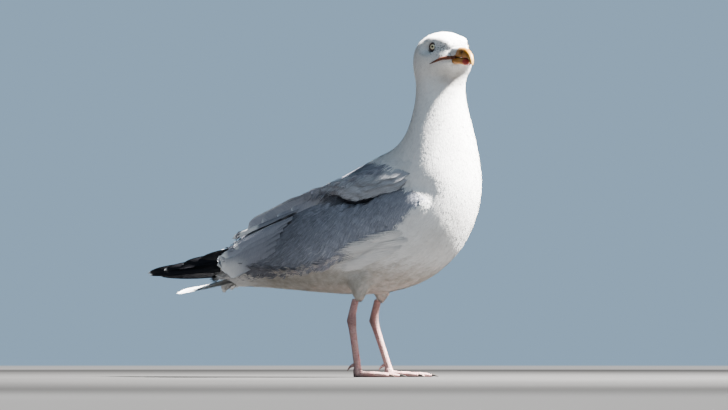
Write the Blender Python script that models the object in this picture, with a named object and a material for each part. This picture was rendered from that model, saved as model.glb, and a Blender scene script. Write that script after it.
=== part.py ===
"""A standing herring gull, life size, as a still model.

Metres, +Z up, +X the way the body faces, +Y the bird's left. The body, neck and head are one
loft of planar rings, parted by thin cuts. Wings, wing tips, tail, bill, eyes and legs are solids
of their own that meet it with a gap of 0.3 mm. The last step puts the origin on the floor below
the middle of the bird's box.
"""
import math

import bpy
import numpy as np
from mathutils import Matrix, Vector

MM = 0.001
GAP = 0.3 * MM
AROUND = 26
RINGS_PER_STEP = 2
WING_ROOM_OUT = 30 * MM  # the trunk is cut away this far outside a wing

# Trunk and neck, in the bird's middle plane, from the tail coverts up to the top of the neck.
# Each row: back point x, z; belly point x, z; half width; how much wider the belly side is.
BODY_MM = [
    (-246, 130, -248, 116.5, 21, 0.0),
    (-222, 147, -226, 115, 24, 0.0),
    (-196, 166, -196, 114, 30, 0.0),
    (-160, 191, -156, 112, 41, 0.0),
    (-120, 214, -110, 108, 50, 0.0),
    (-80, 241, -62, 104, 55, 0.0),
    (-42, 262, -18, 103, 59, 0.0),
    (-8, 278, 28, 108, 62, 0.02),
    (16, 289, 72, 125, 63.5, 0.05),
    (30.5, 298.5, 108, 157, 63, 0.08),
    (39, 309.5, 130, 198, 58.5, 0.06),
    (45.5, 323, 138, 240, 52, 0.04),
    (49.5, 338, 133, 284, 43.5, 0.0),
    (51, 354, 124, 322, 36, 0.0),
    (49.2, 370, 116.6, 352, 32.5, 0.0),
    (47.8, 384, 115.4, 377, 33.5, 0.0),
]
NECK_AXIS_X = 87 * MM
NECK_FIRST, HEAD_FIRST = 12.0, 15.0  # where the thin cuts part trunk, neck and head

# Head, about the point midway between the eyes, looking along its own +X before it turns.
EYES_FORWARD, EYES_HEIGHT = 20.5 * MM, 416 * MM
HEAD_MM = [
    (-56, -20, 12, -35, 36.6, 0.0),
    (-55.5, -7, 15, -31, 37.4, 0.02),
    (-52, 4, 18, -28.5, 37.4, 0.03),
    (-42.5, 12.2, 20.5, -26.8, 36.6, 0.03),
    (-28, 17.9, 22.5, -25.5, 33.8, 0.02),
    (-12, 19.2, 24.5, -24.8, 30.2, 0.0),
    (0, 17.4, 26, -24.2, 25.2, -0.03),
    (10, 13.8, 27.5, -23.9, 20.6, -0.06),
    (17, 9.6, 29, -23.6, 16.2, -0.08),
    (22, 4.6, 30.3, -23.3, 12.2, -0.06),
    (25, -1.0, 31.5, -23.0, 8.8, 0.0),
]
HEAD_TURN, HEAD_PITCH, HEAD_ROLL = math.radians(-39.5), math.radians(2.5), math.radians(0.5)
TURN_FIRST = 9.0  # the neck twists from here up to the head

EYE_RADIUS, EYE_OUT, EYE_FORWARD, EYE_UP = 7.3 * MM, 19.2 * MM, 0.3 * MM, -1.4 * MM
SOCKET_OUT, SOCKET_SIZE = 33.5 * MM, (13 * MM, 10.5 * MM, 9 * MM)  # hollow of the face about an eye
# Bill, in the head's frame. Each row: forward, top, bottom, half width.
UPPER_BILL_MM = [
    (20, -1.6, -14.2, 7.6),
    (30, -1.8, -14.0, 7.0),
    (40, -2.0, -14.2, 6.1),
    (50, -2.8, -14.6, 5.3),
    (58, -4.4, -15.2, 4.7),
    (64.5, -7.4, -16.4, 4.0),
    (69.8, -11.6, -18.8, 3.1),
    (72.8, -16.8, -22.6, 2.1),
    (74.0, -21.8, -25.2, 1.0),
]
LOWER_BILL_MM = [
    (22, -14.8, -23.2, 6.8),
    (32, -14.6, -23.2, 6.2),
    (42, -14.8, -23.4, 5.4),
    (52, -15.2, -24.4, 4.6),
    (58, -15.9, -25.4, 4.1),
    (64, -17.1, -24.2, 3.2),
    (69.3, -19.3, -21.7, 1.7),
]

# Folded right wing, front to rear. Each row: x; top edge y, z; bottom edge y, z; bulge; thickness.
WING_MM = [
    (99, -53, 230, -54, 219, 2, 4),
    (92, -56, 237, -57, 205, 6, 8),
    (75, -57, 243, -59, 190, 8, 11),
    (50, -55, 239, -60, 173, 10, 12),
    (16, -53, 231, -60, 163, 11, 12),
    (-18, -49, 225, -59, 152, 12, 12),
    (-58, -39, 222, -53, 136, 13, 12),
    (-96, -24, 224, -47, 130, 14, 11),
    (-130, -14, 216, -42, 130, 13, 9),
    (-168, -9, 201, -37, 134, 11, 7),
    (-200, -7.5, 186, -32, 140, 8, 5),
    (-226, -8, 168, -26, 150, 3, 3),
]
# Wing tip of stacked flight feathers beyond the long inner feathers.
TIP_MM = [
    (-226.8, -10, 158, -25.5, 151, 2, 2.6),
    (-234, -8, 158, -28, 131, 4, 4),
    (-262, -6, 153.5, -24, 131, 4, 4),
    (-290, -5, 148, -19, 132, 3, 3.4),
    (-316, -5, 142.5, -14.5, 131.5, 2, 2.6),
    (-336.5, -7, 135, -9, 131.5, 0.6, 1.6),
]
TIP_SIDE_LIFT = 3.0 * MM  # the left tip lies this much higher than the right one
# Shoulder feathers that bulge over each wing. Each row: x, middle y, middle z, half width, half height.
SHOULDER_MM = [
    (82, -44, 256, 4, 4),
    (62, -41, 258, 14, 13),
    (32, -39, 253, 19, 17),
    (0, -38, 246, 19.5, 17),
    (-40, -34, 237, 17, 14),
    (-80, -27, 226, 12, 10),
    (-112, -21, 216, 5, 5),
]
# Tail fan. Each row: x, middle z, half width, droop of its edges, thickness.
TAIL_MM = [
    (-214, 123.5, 17, 2, 12),
    (-238, 121.2, 25, 2, 9.5),
    (-260, 118.2, 31, 2, 6.5),
    (-281, 114.4, 34, 2, 3.2),
    (-288, 113.2, 32, 2, 2.4),
]
TAIL_ROLL = math.tan(math.radians(9))  # its left side lies higher

# Legs: where each stands, the heel joint behind it, and the way the foot points.
LEGS = {
    "right": {"side": -1, "foot_x": -16 * MM, "heel_x": -25 * MM, "toes_turn": math.radians(14)},
    "left": {"side": 1, "foot_x": -6 * MM, "heel_x": -28 * MM, "toes_turn": math.radians(20)},
}
LEG_Y, ANKLE_Z = 33 * MM, 9 * MM
SHIN_TOP_X = 9 * MM  # ahead of the heel, where feathers begin
TARSUS_DEEP, TARSUS_WIDE = 5.1 * MM, 3.8 * MM  # half sizes
# Feathered thigh, from the belly down. Each row: ahead of the shin's top, z, half depth, half width.
THIGH_MM = [(4, 128, 22, 14), (3, 113, 16, 11.5), (2, 102, 11, 9), (-1, 92, 6.8, 6)]
# Bare leg, from the ankle up. Each row: share of the way from foot to heel, z, share of the
# tarsus's half depth and half width. The last two stand ahead of the heel, by mm.
TARSUS_ROWS = [(0.12, 17, 0.96, 0.96), (0.5, 40, 0.95, 0.94), (0.85, 61, 1.05, 1.05), (1.0, 71, 1.3, 1.32)]
SHIN_ROWS = [(1, 80, 1.05, 1.1), (6, 99, 0.95, 1.05)]
ANKLE_ROWS = [(0, 1.2, 5.2, 5.2), (0, 5, 6.2, 5.6), (-0.5, 10.5, 5.6, 4.6)]  # forward, z, half depth, width
HIND_TOE_ROWS = [(-1, 15.5, 2.5), (3, 14.8, 2.4), (6, 13.0, 2.0), (8.5, 10.5, 1.5), (10.5, 7.4, 0.6)]
TOES = {"inner": (-24, 44), "middle": (0, 55), "outer": (24, 50)}  # spread in degrees, length in mm
TOE_RADIUS, TOE_TIP_RADIUS, TOE_HIGH = 3.9 * MM, 2.3 * MM, 1.15
# Knuckles and hollows along a toe: share of its length, and how its radius swells there.
KNUCKLES = [
    (-0.10, 0.75), (0.02, 1.12), (0.22, 0.95), (0.4, 1.06),
    (0.56, 0.94), (0.72, 1.05), (0.86, 1.0), (1.0, 0.7),
]
WEB_LOW, WEB_HIGH, WEB_FRONT, WEB_HOLLOW = 0.5 * MM, 1.9 * MM, 0.93, 0.62
CLAW_LENGTH, CLAW_RADIUS, CLAW_TIP_RADIUS, CLAW_BASE_Z = 8.5 * MM, 1.4 * MM, 0.28 * MM, 2.2 * MM

FINISH = {  # colour, roughness, metallic
    "white_feather": ((0.86, 0.86, 0.85, 1), 0.75, 0.0),
    "grey_feather": ((0.36, 0.38, 0.43, 1), 0.75, 0.0),
    "black_feather": ((0.02, 0.02, 0.022, 1), 0.6, 0.0),
    "bill": ((0.80, 0.48, 0.08, 1), 0.4, 0.0),
    "eye": ((0.78, 0.72, 0.45, 1), 0.1, 0.0),
    "leg_skin": ((0.80, 0.50, 0.47, 1), 0.55, 0.0),
    "claw": ((0.06, 0.05, 0.05, 1), 0.45, 0.0),
}


def clear_scene():
    for old in list(bpy.data.objects):
        bpy.data.objects.remove(old)


def finish(name):
    """The named material, made once."""
    if name in bpy.data.materials:
        return bpy.data.materials[name]
    colour, roughness, metallic = FINISH[name]
    made = bpy.data.materials.new(name)
    made.use_nodes = True
    shader = made.node_tree.nodes["Principled BSDF"]
    shader.inputs["Base Color"].default_value = colour
    shader.inputs["Roughness"].default_value = roughness
    shader.inputs["Metallic"].default_value = metallic
    return made


def along(rows, t):
    """The row at place t of a smooth curve through the rows, t counting rows from 0."""
    rows = np.asarray(rows, float)
    i = min(int(t), len(rows) - 2)
    f = t - i
    before, after = rows[max(i - 1, 0)], rows[min(i + 2, len(rows) - 1)]
    a, b = rows[i], rows[i + 1]
    return 0.5 * (
        2 * a + (b - before) * f + (2 * before - 5 * a + 4 * b - after) * f**2
        + (3 * a - before - 3 * b + after) * f**3
    )


def places(first, last, per_step):
    return np.linspace(first, last, round((last - first) * per_step) + 1)


def loft(name, rings, finish_name, helper=False):
    """A closed solid through rings of equal length, each a list of points, capped at both ends."""
    rings = [np.asarray(ring, float) for ring in rings]
    count = len(rings[0])
    points = np.concatenate(rings)
    faces = []
    for i in range(len(rings) - 1):
        for j in range(count):
            a, b = i * count + j, i * count + (j + 1) % count
            faces.append((a, b, b + count))
            faces.append((a, b + count, a + count))
    faces.append(tuple(reversed(range(count))))
    faces.append(tuple(range((len(rings) - 1) * count, len(rings) * count)))
    mesh = bpy.data.meshes.new(name)
    mesh.from_pydata(points.tolist(), [], faces)
    if signed_volume(mesh) < 0:
        mesh.flip_normals()
    mesh.shade_smooth()
    mesh.set_sharp_from_angle(angle=math.radians(50))
    mesh.materials.append(finish(finish_name))
    made = bpy.data.objects.new(name, mesh)
    bpy.context.scene.collection.objects.link(made)
    if helper:
        made.hide_render = True
        made.display_type = "WIRE"
    return made


def signed_volume(mesh):
    mesh.calc_loop_triangles()
    corners = np.array([[mesh.vertices[v].co for v in t.vertices] for t in mesh.loop_triangles])
    return float(np.einsum("ij,ij->i", corners[:, 0], np.cross(corners[:, 1], corners[:, 2])).sum())


def boolean(target, other, operation="DIFFERENCE"):
    step = target.modifiers.new(other.name, "BOOLEAN")
    step.operation = operation
    step.solver = "EXACT"
    step.object = other


def egg_ring(back, belly, half_width, belly_share, side, grow=0.0):
    """A ring in the plane of back, belly and side, egg shaped, from the back round to the left."""
    middle, deep = (back + belly) / 2, (back - belly) / 2
    deep = deep * (1 + grow / np.linalg.norm(deep))
    ring = []
    for k in range(AROUND):
        angle = 2 * math.pi * k / AROUND
        wide = (half_width + grow) * math.sin(angle) * (1 - belly_share * math.cos(angle))
        ring.append(middle + deep * math.cos(angle) + side * wide)
    return ring


def neck_turn(t):
    """How far the ring at place t is turned about the neck's axis."""
    share = min(max((t - TURN_FIRST) / (HEAD_FIRST - TURN_FIRST), 0), 1)
    return HEAD_TURN * share * share * (3 - 2 * share)


def body_ring(t):
    """The trunk's and neck's ring at place t."""
    back_x, back_z, belly_x, belly_z, half_width, belly_share = along(BODY_MM, t) * ([MM] * 5 + [1])
    turn = Matrix.Rotation(neck_turn(t), 3, "Z")
    axis = np.array([NECK_AXIS_X, 0, 0])
    back, belly = (
        np.array(turn @ Vector((x - NECK_AXIS_X, 0, z))) + axis
        for x, z in ((back_x, back_z), (belly_x, belly_z))
    )
    side = np.array(turn @ Vector((0, 1, 0)))
    return egg_ring(back, belly, half_width, belly_share, side)


def head_frame():
    """Head space to the bird's: between the eyes, after its turn, nod and tilt."""
    turned = Matrix.Rotation(HEAD_TURN, 4, "Z")
    tilt = Matrix.Rotation(HEAD_PITCH, 4, "Y") @ Matrix.Rotation(HEAD_ROLL, 4, "X")
    at = Matrix.Translation((NECK_AXIS_X, 0, EYES_HEIGHT))
    return at @ turned @ Matrix.Translation((EYES_FORWARD, 0, 0)) @ tilt


def in_head(points):
    frame = np.array(head_frame())
    points = np.asarray(points, float)
    return points @ frame[:3, :3].T + frame[:3, 3]


def head_ring(t):
    back_x, back_z, chin_x, chin_z, half_width, share = along(HEAD_MM, t) * ([MM] * 5 + [1])
    back, chin = np.array([back_x, 0, back_z]), np.array([chin_x, 0, chin_z])
    return in_head(egg_ring(back, chin, half_width, share, np.array([0, 1, 0])))


def pushed(ring, towards, distance):
    """The ring moved along its own plane's normal, towards a point."""
    ring = np.asarray(ring, float)
    normal = np.cross(ring[AROUND // 4] - ring[0], ring[AROUND // 2] - ring[0])
    normal /= np.linalg.norm(normal)
    away = np.sign(np.dot(normal, np.asarray(towards, float) - ring.mean(axis=0)))
    return ring + normal * distance * away


def make_flesh():
    """Trunk, neck and head, each capped by its own rings."""
    trunk = [body_ring(t) for t in places(0, NECK_FIRST, RINGS_PER_STEP)]
    neck = [body_ring(t) for t in places(NECK_FIRST, HEAD_FIRST, RINGS_PER_STEP)]
    head = [head_ring(t) for t in places(0, len(HEAD_MM) - 1, 1)]
    top_of_neck = np.mean(neck[-1], axis=0)
    neck[0] = pushed(neck[0], top_of_neck, GAP)
    head_base = pushed(neck[-1], np.mean(head[-1], axis=0) + [0, 0, 1], GAP)
    return (
        loft("trunk", trunk, "white_feather"),
        loft("neck", neck, "white_feather"),
        loft("head", [head_base] + head, "white_feather"),
    )


def oval_ring(x, top, bottom, half_width, corners, grow=0.0):
    """A bill's cross section at x in the head's frame."""
    middle, half_height = (top + bottom) / 2, (top - bottom) / 2 + grow
    angles = [2 * math.pi * k / corners for k in range(corners)]
    return in_head(
        [(x, (half_width + grow) * math.sin(a), middle + half_height * math.cos(a)) for a in angles]
    )


def make_bill(name, rows, grow=0.0, helper=False):
    rings = [oval_ring(*(along(rows, t) * MM), 16, grow) for t in places(0, len(rows) - 1, 1)]
    return loft(name, rings, "bill", helper)


def make_ball(name, out, size, finish_name, helper=False):
    """A ball or egg beside the head, out to one side of the point midway between the eyes."""
    bands, corners = 8, 14
    middle = np.array([EYE_FORWARD, out, EYE_UP])
    rings = []
    for band in range(1, bands):
        angle = math.pi * band / bands
        wide, along_y = math.sin(angle), math.cos(angle)
        turns = (2 * math.pi * k / corners for k in range(corners))
        ring = [(wide * math.cos(t), along_y, wide * math.sin(t)) for t in turns]
        rings.append(in_head(middle + np.array(ring) * size))
    return loft(name, rings, finish_name, helper)


def plate_ring(row, side, grow=0.0, outer_grow=None):
    """A folded wing's cross section: a thin curved plate from its top edge to its bottom edge."""
    x, top_y, top_z, bottom_y, bottom_z, bulge, thick = (v * MM for v in row)
    steps, edge = 8, min(thick, 1.6 * MM)
    top, bottom = np.array([top_y, top_z]), np.array([bottom_y, bottom_z])
    chord = (bottom - top) / np.linalg.norm(bottom - top)
    outward = np.array([chord[1], -chord[0]])
    outward = outward if outward[0] < 0 else -outward
    top, bottom = top - chord * 1.5 * grow, bottom + chord * 1.5 * grow
    outer_grow = grow if outer_grow is None else outer_grow
    outer, inner = [], []
    for k in range(steps):
        v = k / (steps - 1)
        rise = bulge * (1 - abs(2 * v - 1) ** 2.4)
        depth = edge + (thick - edge) * (1 - (2 * v - 1) ** 2)
        on_chord = top + (bottom - top) * v
        outer.append(on_chord + outward * (rise + outer_grow))
        inner.append(on_chord + outward * (rise - depth - grow))
    return [(x, -side * p[0], p[1]) for p in outer + inner[::-1]]


def stretched(rows, grow):
    """The rows with the first and last pushed outwards by grow."""
    rows = [list(row) for row in rows]
    rows[0][0] += grow / MM
    rows[-1][0] -= grow / MM
    return rows


def make_plate(name, rows, side, finish_name, lift=0.0, grow=0.0, outer_grow=None, helper=False):
    rows = stretched(rows, grow)
    rings = [
        np.array(plate_ring(along(rows, t), side, grow, outer_grow)) + [0, 0, lift]
        for t in places(0, len(rows) - 1, 1)
    ]
    return loft(name, rings, finish_name, helper)


def make_shoulder(name, side):
    rings = []
    for t in places(0, len(SHOULDER_MM) - 1, 1):
        x, y, z, wide, high = along(SHOULDER_MM, t) * MM
        rings.append([
            (x, -side * y + wide * math.cos(a), z + high * math.sin(a))
            for a in (2 * math.pi * k / 16 for k in range(16))
        ])
    return loft(name, rings, "grey_feather", helper=True)


def make_tail(name, grow=0.0, helper=False):
    rings = []
    for t in places(0, len(TAIL_MM) - 1, 1):
        x, middle, half_width, droop, thick = along(stretched(TAIL_MM, grow), t) * MM
        across = np.linspace(-1, 1, 9)
        half = thick / 2 + grow
        spread = (half_width + grow) * across
        line = middle - droop * across**2 + TAIL_ROLL * spread
        top = [(x, y, z + half) for y, z in zip(spread, line)]
        under = [(x, y, z - half) for y, z in zip(spread, line)]
        rings.append(top + under[::-1])
    return loft(name, rings, "white_feather", helper)


def tube(name, spots, finish_name, corners=12, helper=False):
    """A limb through spots, each (x, y, z, half depth, half width), its rings level with the floor."""
    rings = []
    for t in places(0, len(spots) - 1, 1 if corners < 20 else 2):
        x, y, z, deep, wide = along(spots, t)
        angles = (2 * math.pi * k / corners for k in range(corners))
        rings.append([(x + deep * math.cos(a), y + wide * math.sin(a), z) for a in angles])
    return loft(name, rings, finish_name, helper)


def make_thigh(side_name, leg, grow=0.0, helper=False):
    """The feathered upper leg, widening up into the belly."""
    y, top_x = leg["side"] * LEG_Y, leg["heel_x"] + SHIN_TOP_X
    spots = [
        (top_x + ahead * MM, y, z * MM, deep * MM + grow, wide * MM + grow)
        for ahead, z, deep, wide in THIGH_MM
    ]
    x, y, z, deep, wide = spots[-1]
    spots[-1] = (x, y, z - grow, deep, wide)
    return tube(f"thigh_{side_name}" + ("_room" if helper else ""), spots, "white_feather", 20, helper)


def make_shank(side_name, leg, grow=0.0, helper=False):
    """The bare shin, the heel joint and the long foot bone below it."""
    y, foot_x, heel_x = leg["side"] * LEG_Y, leg["foot_x"], leg["heel_x"]
    wide, deep = TARSUS_WIDE + grow, TARSUS_DEEP + grow
    spots = [(foot_x, y, ANKLE_Z - grow, deep, wide)]
    for share, z, more_deep, more_wide in TARSUS_ROWS:
        spots.append((foot_x + (heel_x - foot_x) * share, y, z * MM, deep * more_deep, wide * more_wide))
    for ahead, z, more_deep, more_wide in SHIN_ROWS:
        spots.append((heel_x + ahead * MM, y, z * MM, deep * more_deep, wide * more_wide))
    x, y, z, deep, wide = spots[-1]
    spots[-1] = (x, y, z + grow, deep, wide)
    return tube(f"shank_{side_name}" + ("_room" if helper else ""), spots, "leg_skin", 12, helper)


def foot_place(leg, forward, sideways, z):
    """A point on a foot: forward along its middle toe, sideways towards its inner toe."""
    turn, inward = leg["toes_turn"], -leg["side"]
    x = forward * math.cos(turn) - sideways * inward * math.sin(turn)
    y = forward * math.sin(turn) + sideways * inward * math.cos(turn)
    return (leg["foot_x"] + x, leg["side"] * LEG_Y + y, z)


def on_toe(leg, spread, reach, across, z):
    """A point on a toe that is spread from the middle one: reach along it, across it to the outside."""
    forward = reach * math.cos(spread) - across * math.sin(spread)
    inward = -reach * math.sin(spread) - across * math.cos(spread)
    return foot_place(leg, forward, inward, z)


def toe_ring(leg, spread, reach, radius):
    """A toe's cross section: round above, with a narrow flat below that rests on the floor."""
    ring = []
    for k in range(8):
        angle = 2 * math.pi * (k + 0.5) / 8
        z = max(radius + radius * math.sin(angle) * TOE_HIGH, 0)
        ring.append(on_toe(leg, spread, reach, radius * math.cos(angle), z))
    return ring


def make_toe(name, leg, spread_deg, length_mm):
    spread, length = math.radians(spread_deg), length_mm * MM
    rings = []
    for share, swell in KNUCKLES:
        radius = TOE_RADIUS + (TOE_TIP_RADIUS - TOE_RADIUS) * max(share, 0)
        rings.append(toe_ring(leg, spread, length * share, radius * swell))
    return loft(name, rings, "leg_skin", helper=True)


def make_web(name, leg):
    """The skin between the toes, its front edge hollow between their tips."""
    upper, lower = [], []
    steps = 5
    toes = [TOES["inner"], TOES["middle"], TOES["outer"]]
    for (spread_a, length_a), (spread_b, length_b) in zip(toes, toes[1:]):
        for k in range(steps + (spread_b == toes[-1][0])):
            v = k / steps
            spread = math.radians(spread_a + (spread_b - spread_a) * v)
            reach = (length_a + (length_b - length_a) * v) * MM * (WEB_FRONT - WEB_HOLLOW * v * (1 - v))
            forward, inward = reach * math.cos(spread), -reach * math.sin(spread)
            upper.append(foot_place(leg, forward, inward, WEB_HIGH))
            lower.append(foot_place(leg, forward, inward, WEB_LOW))
    heel_high, heel_low = foot_place(leg, -1 * MM, 0, WEB_HIGH), foot_place(leg, -1 * MM, 0, WEB_LOW)
    return loft(name, [[heel_low] + lower, [heel_high] + upper], "leg_skin", helper=True)


def make_foot(side_name, leg, shank_room):
    """Three toes joined by webs. The middle toe's solid takes the others in."""
    side_toes = [make_toe(f"toe_{toe}_{side_name}", leg, *TOES[toe]) for toe in ("inner", "outer")]
    foot = make_toe(f"foot_{side_name}", leg, *TOES["middle"])
    foot.hide_render, foot.display_type = False, "TEXTURED"
    x, y = leg["foot_x"], leg["side"] * LEG_Y
    spots = [(x + ahead * MM, y, z * MM, deep * MM, wide * MM) for ahead, z, deep, wide in ANKLE_ROWS]
    ankle = tube(f"ankle_{side_name}", spots, "leg_skin", 10, helper=True)
    for other in [*side_toes, ankle, make_web(f"web_{side_name}", leg)]:
        boolean(foot, other, "UNION")
    boolean(foot, shank_room)


def make_claw(name, leg, spread_deg, start):
    """A curved horn cone from a toe's end down to the floor."""
    spread, steps, corners = math.radians(spread_deg), 6, 8
    rings = []
    for k in range(steps):
        share = k / (steps - 1)
        radius = CLAW_RADIUS * (1 - share) ** 0.7 + CLAW_TIP_RADIUS
        middle_z = max(radius, CLAW_BASE_Z * (1 - share**1.6) + 0.35 * MM)
        ring = []
        for j in range(corners):
            angle = 2 * math.pi * j / corners
            across, z = radius * 0.8 * math.cos(angle), middle_z + radius * math.sin(angle)
            ring.append(on_toe(leg, spread, start + CLAW_LENGTH * share, across, z))
        rings.append(ring)
    return loft(name, rings, "claw")


def make_hind_toe(side_name, leg, shank_room):
    """The small raised toe behind, with its claw joined as one solid."""
    x, y = leg["foot_x"] - TARSUS_DEEP, leg["side"] * LEG_Y
    corners = 8
    rings = []
    for reach, z, radius in HIND_TOE_ROWS:
        angles = (2 * math.pi * j / corners for j in range(corners))
        rings.append([
            (x - reach * MM, y + radius * MM * math.cos(a), (z + radius * math.sin(a)) * MM)
            for a in angles
        ])
    toe = loft(f"hind_toe_{side_name}", rings, "leg_skin")
    boolean(toe, shank_room)


def make_leg(side_name, leg):
    make_shank(side_name, leg)
    room = make_shank(side_name, leg, GAP, helper=True)
    boolean(make_thigh(side_name, leg), room)
    make_foot(side_name, leg, room)
    for toe, (spread, length) in TOES.items():
        make_claw(f"claw_{toe}_{side_name}", leg, spread, length * MM + GAP)
    make_hind_toe(side_name, leg, room)


def stand_at_origin():
    """Moves every piece so that the origin is on the floor below the middle of the bird's box."""
    bpy.context.view_layer.update()
    shown = [o for o in bpy.data.objects if not o.hide_render]
    corners = np.array([o.matrix_world @ v.co for o in shown for v in o.data.vertices])
    low, high = corners.min(axis=0), corners.max(axis=0)
    shift = Matrix.Translation((-(low[0] + high[0]) / 2, -(low[1] + high[1]) / 2, -low[2]))
    for mesh in bpy.data.meshes:
        mesh.transform(shift)


def main():
    clear_scene()
    trunk, _, head = make_flesh()
    wings = {"right": -1, "left": 1}
    for side_name, side in wings.items():
        boolean(trunk, make_shoulder(f"shoulder_{side_name}", side), "UNION")
    for side_name, side in wings.items():
        make_plate(f"wing_{side_name}", WING_MM, side, "grey_feather")
        room = make_plate(f"wing_{side_name}_room", WING_MM, side, "grey_feather",
                          grow=GAP, outer_grow=WING_ROOM_OUT, helper=True)
        boolean(trunk, room)
        lift = TIP_SIDE_LIFT if side > 0 else 0.0
        make_plate(f"wing_tip_{side_name}", TIP_MM, side, "black_feather", lift)
    make_tail("tail")
    boolean(trunk, make_tail("tail_room", GAP, helper=True))
    for side_name, side in wings.items():
        out, room = side * EYE_OUT, EYE_RADIUS + GAP
        make_ball(f"eye_{side_name}", out, [EYE_RADIUS] * 3, "eye")
        boolean(head, make_ball(f"socket_{side_name}", side * SOCKET_OUT, SOCKET_SIZE, "eye", helper=True))
        boolean(head, make_ball(f"eye_{side_name}_room", out, [room] * 3, "eye", helper=True))
    for name, rows in (("upper_bill", UPPER_BILL_MM), ("lower_bill", LOWER_BILL_MM)):
        make_bill(name, rows)
        boolean(head, make_bill(f"{name}_room", rows, GAP, helper=True))
    for side_name, leg in LEGS.items():
        make_leg(side_name, leg)
        boolean(trunk, make_thigh(side_name, leg, GAP, helper=True))
    stand_at_origin()


main()
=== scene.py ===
"""Looks of the standing herring gull: skin, coat of feathers, bill, eyes, legs, floor and light.

Metres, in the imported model's frame. Places on the bird are given in millimetres from a point on
the floor between its legs: x ahead, y outwards from its middle plane, z up. Places on the head
are given in millimetres from a point just above the middle between the eyes: x the way the head
faces, y across it, z up.
"""

import math

import bpy
import numpy as np
from mathutils import Matrix, Vector
from mathutils.bvhtree import BVHTree


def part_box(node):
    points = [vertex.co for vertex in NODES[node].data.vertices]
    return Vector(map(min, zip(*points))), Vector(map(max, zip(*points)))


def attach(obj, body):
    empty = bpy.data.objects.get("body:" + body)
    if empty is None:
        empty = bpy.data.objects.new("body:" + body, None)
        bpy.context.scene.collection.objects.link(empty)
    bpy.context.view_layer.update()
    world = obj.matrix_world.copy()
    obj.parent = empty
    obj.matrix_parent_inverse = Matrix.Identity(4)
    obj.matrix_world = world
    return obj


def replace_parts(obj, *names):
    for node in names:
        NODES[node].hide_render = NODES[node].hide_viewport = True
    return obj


MM = 0.001
RANDOM = np.random.default_rng(11)

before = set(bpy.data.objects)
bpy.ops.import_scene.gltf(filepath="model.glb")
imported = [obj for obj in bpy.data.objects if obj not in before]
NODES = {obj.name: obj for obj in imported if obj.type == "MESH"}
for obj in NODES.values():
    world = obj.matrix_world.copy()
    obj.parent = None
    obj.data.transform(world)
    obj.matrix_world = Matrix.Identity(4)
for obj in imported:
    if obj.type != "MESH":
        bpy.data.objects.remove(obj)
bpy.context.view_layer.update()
SIDES = {"right": -1, "left": 1}


def centre_of(node):
    low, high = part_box(node)
    return (np.array(low) + np.array(high)) / 2


MIDDLE_Y = (centre_of("wing_left")[1] + centre_of("wing_right")[1]) / 2
ORIGIN = np.array([86.6 * MM, MIDDLE_Y, 0.0])
HEAD_TURN, HEAD_PITCH, HEAD_ROLL = math.radians(-39.5), math.radians(2.5), math.radians(0.5)
EYES = (centre_of("eye_left") + centre_of("eye_right")) / 2
EYE_RADIUS, EYE_FORWARD, EYE_UP = 7.3 * MM, 0.3 * MM, -1.4 * MM


def head_matrix():
    """Head space to the model's frame, from the eyes' places and the head's turn, nod and tilt."""
    turned = Matrix.Rotation(HEAD_TURN, 3, "Z")
    tilt = Matrix.Rotation(HEAD_PITCH, 3, "Y") @ Matrix.Rotation(HEAD_ROLL, 3, "X")
    axes = np.array(turned @ tilt)
    return axes, EYES - axes @ np.array([EYE_FORWARD, 0, EYE_UP])


HEAD_AXES, HEAD_AT = head_matrix()


def from_head(points):
    return np.asarray(points, float) @ HEAD_AXES.T + HEAD_AT


def to_head(points):
    return (np.asarray(points, float) - HEAD_AT) @ HEAD_AXES


def head_mm(points):
    return to_head(points) / MM


def bird_mm(points):
    return (points - ORIGIN) / MM


def folded(places):
    """Places with y counted outwards on both sides."""
    x, y, z = places.T
    return np.stack([x, np.abs(y), z], axis=1)


def spot(x, y, z, side):
    """A place in mm on the bird, y outwards on the given side."""
    return ORIGIN + np.array([x, y * side, z]) * MM


def unit(v):
    v = np.asarray(v, float)
    return v / np.maximum(np.linalg.norm(v, axis=-1, keepdims=True), 1e-12)


def smooth(low, high, value):
    share = np.clip((value - low) / (high - low), 0, 1)
    return share * share * (3 - 2 * share)


def bell(gap, reach):
    """1 at no gap, falling off softly within the reach."""
    return np.exp(-(gap / reach) ** 2)


# ---------------------------------------------------------------- meshes

def mesh_object(name, points, faces, material=None):
    """A mesh object from arrays. Faces all have the same number of corners."""
    mesh = bpy.data.meshes.new(name)
    count, corners = faces.shape
    mesh.vertices.add(len(points))
    mesh.vertices.foreach_set("co", np.ascontiguousarray(points, np.float32).ravel())
    mesh.loops.add(count * corners)
    mesh.loops.foreach_set("vertex_index", np.ascontiguousarray(faces, np.int32).ravel())
    mesh.polygons.add(count)
    mesh.polygons.foreach_set("loop_start", np.arange(0, count * corners, corners, dtype=np.int32))
    mesh.update(calc_edges=True)
    mesh.shade_smooth()
    made = bpy.data.objects.new(name, mesh)
    bpy.context.scene.collection.objects.link(made)
    if material:
        mesh.materials.append(material)
    return made


def put_vector(obj, name, values):
    attribute = obj.data.attributes.new(name, "FLOAT_VECTOR", "POINT")
    attribute.data.foreach_set("vector", np.ascontiguousarray(values, np.float32).ravel())


def put_map(obj, uv):
    """A UV map from one place per vertex."""
    layer = obj.data.uv_layers.new(name="OFBake")
    index = np.empty(len(obj.data.loops), np.int32)
    obj.data.loops.foreach_get("vertex_index", index)
    layer.data.foreach_set("uv", np.ascontiguousarray(uv[index], np.float32).ravel())


def arrays_of(mesh):
    points = np.empty(len(mesh.vertices) * 3, np.float32)
    mesh.vertices.foreach_get("co", points)
    mesh.calc_loop_triangles()
    faces = np.empty(len(mesh.loop_triangles) * 3, np.int32)
    mesh.loop_triangles.foreach_get("vertices", faces)
    return points.reshape(-1, 3).astype(float), faces.reshape(-1, 3)


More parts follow.
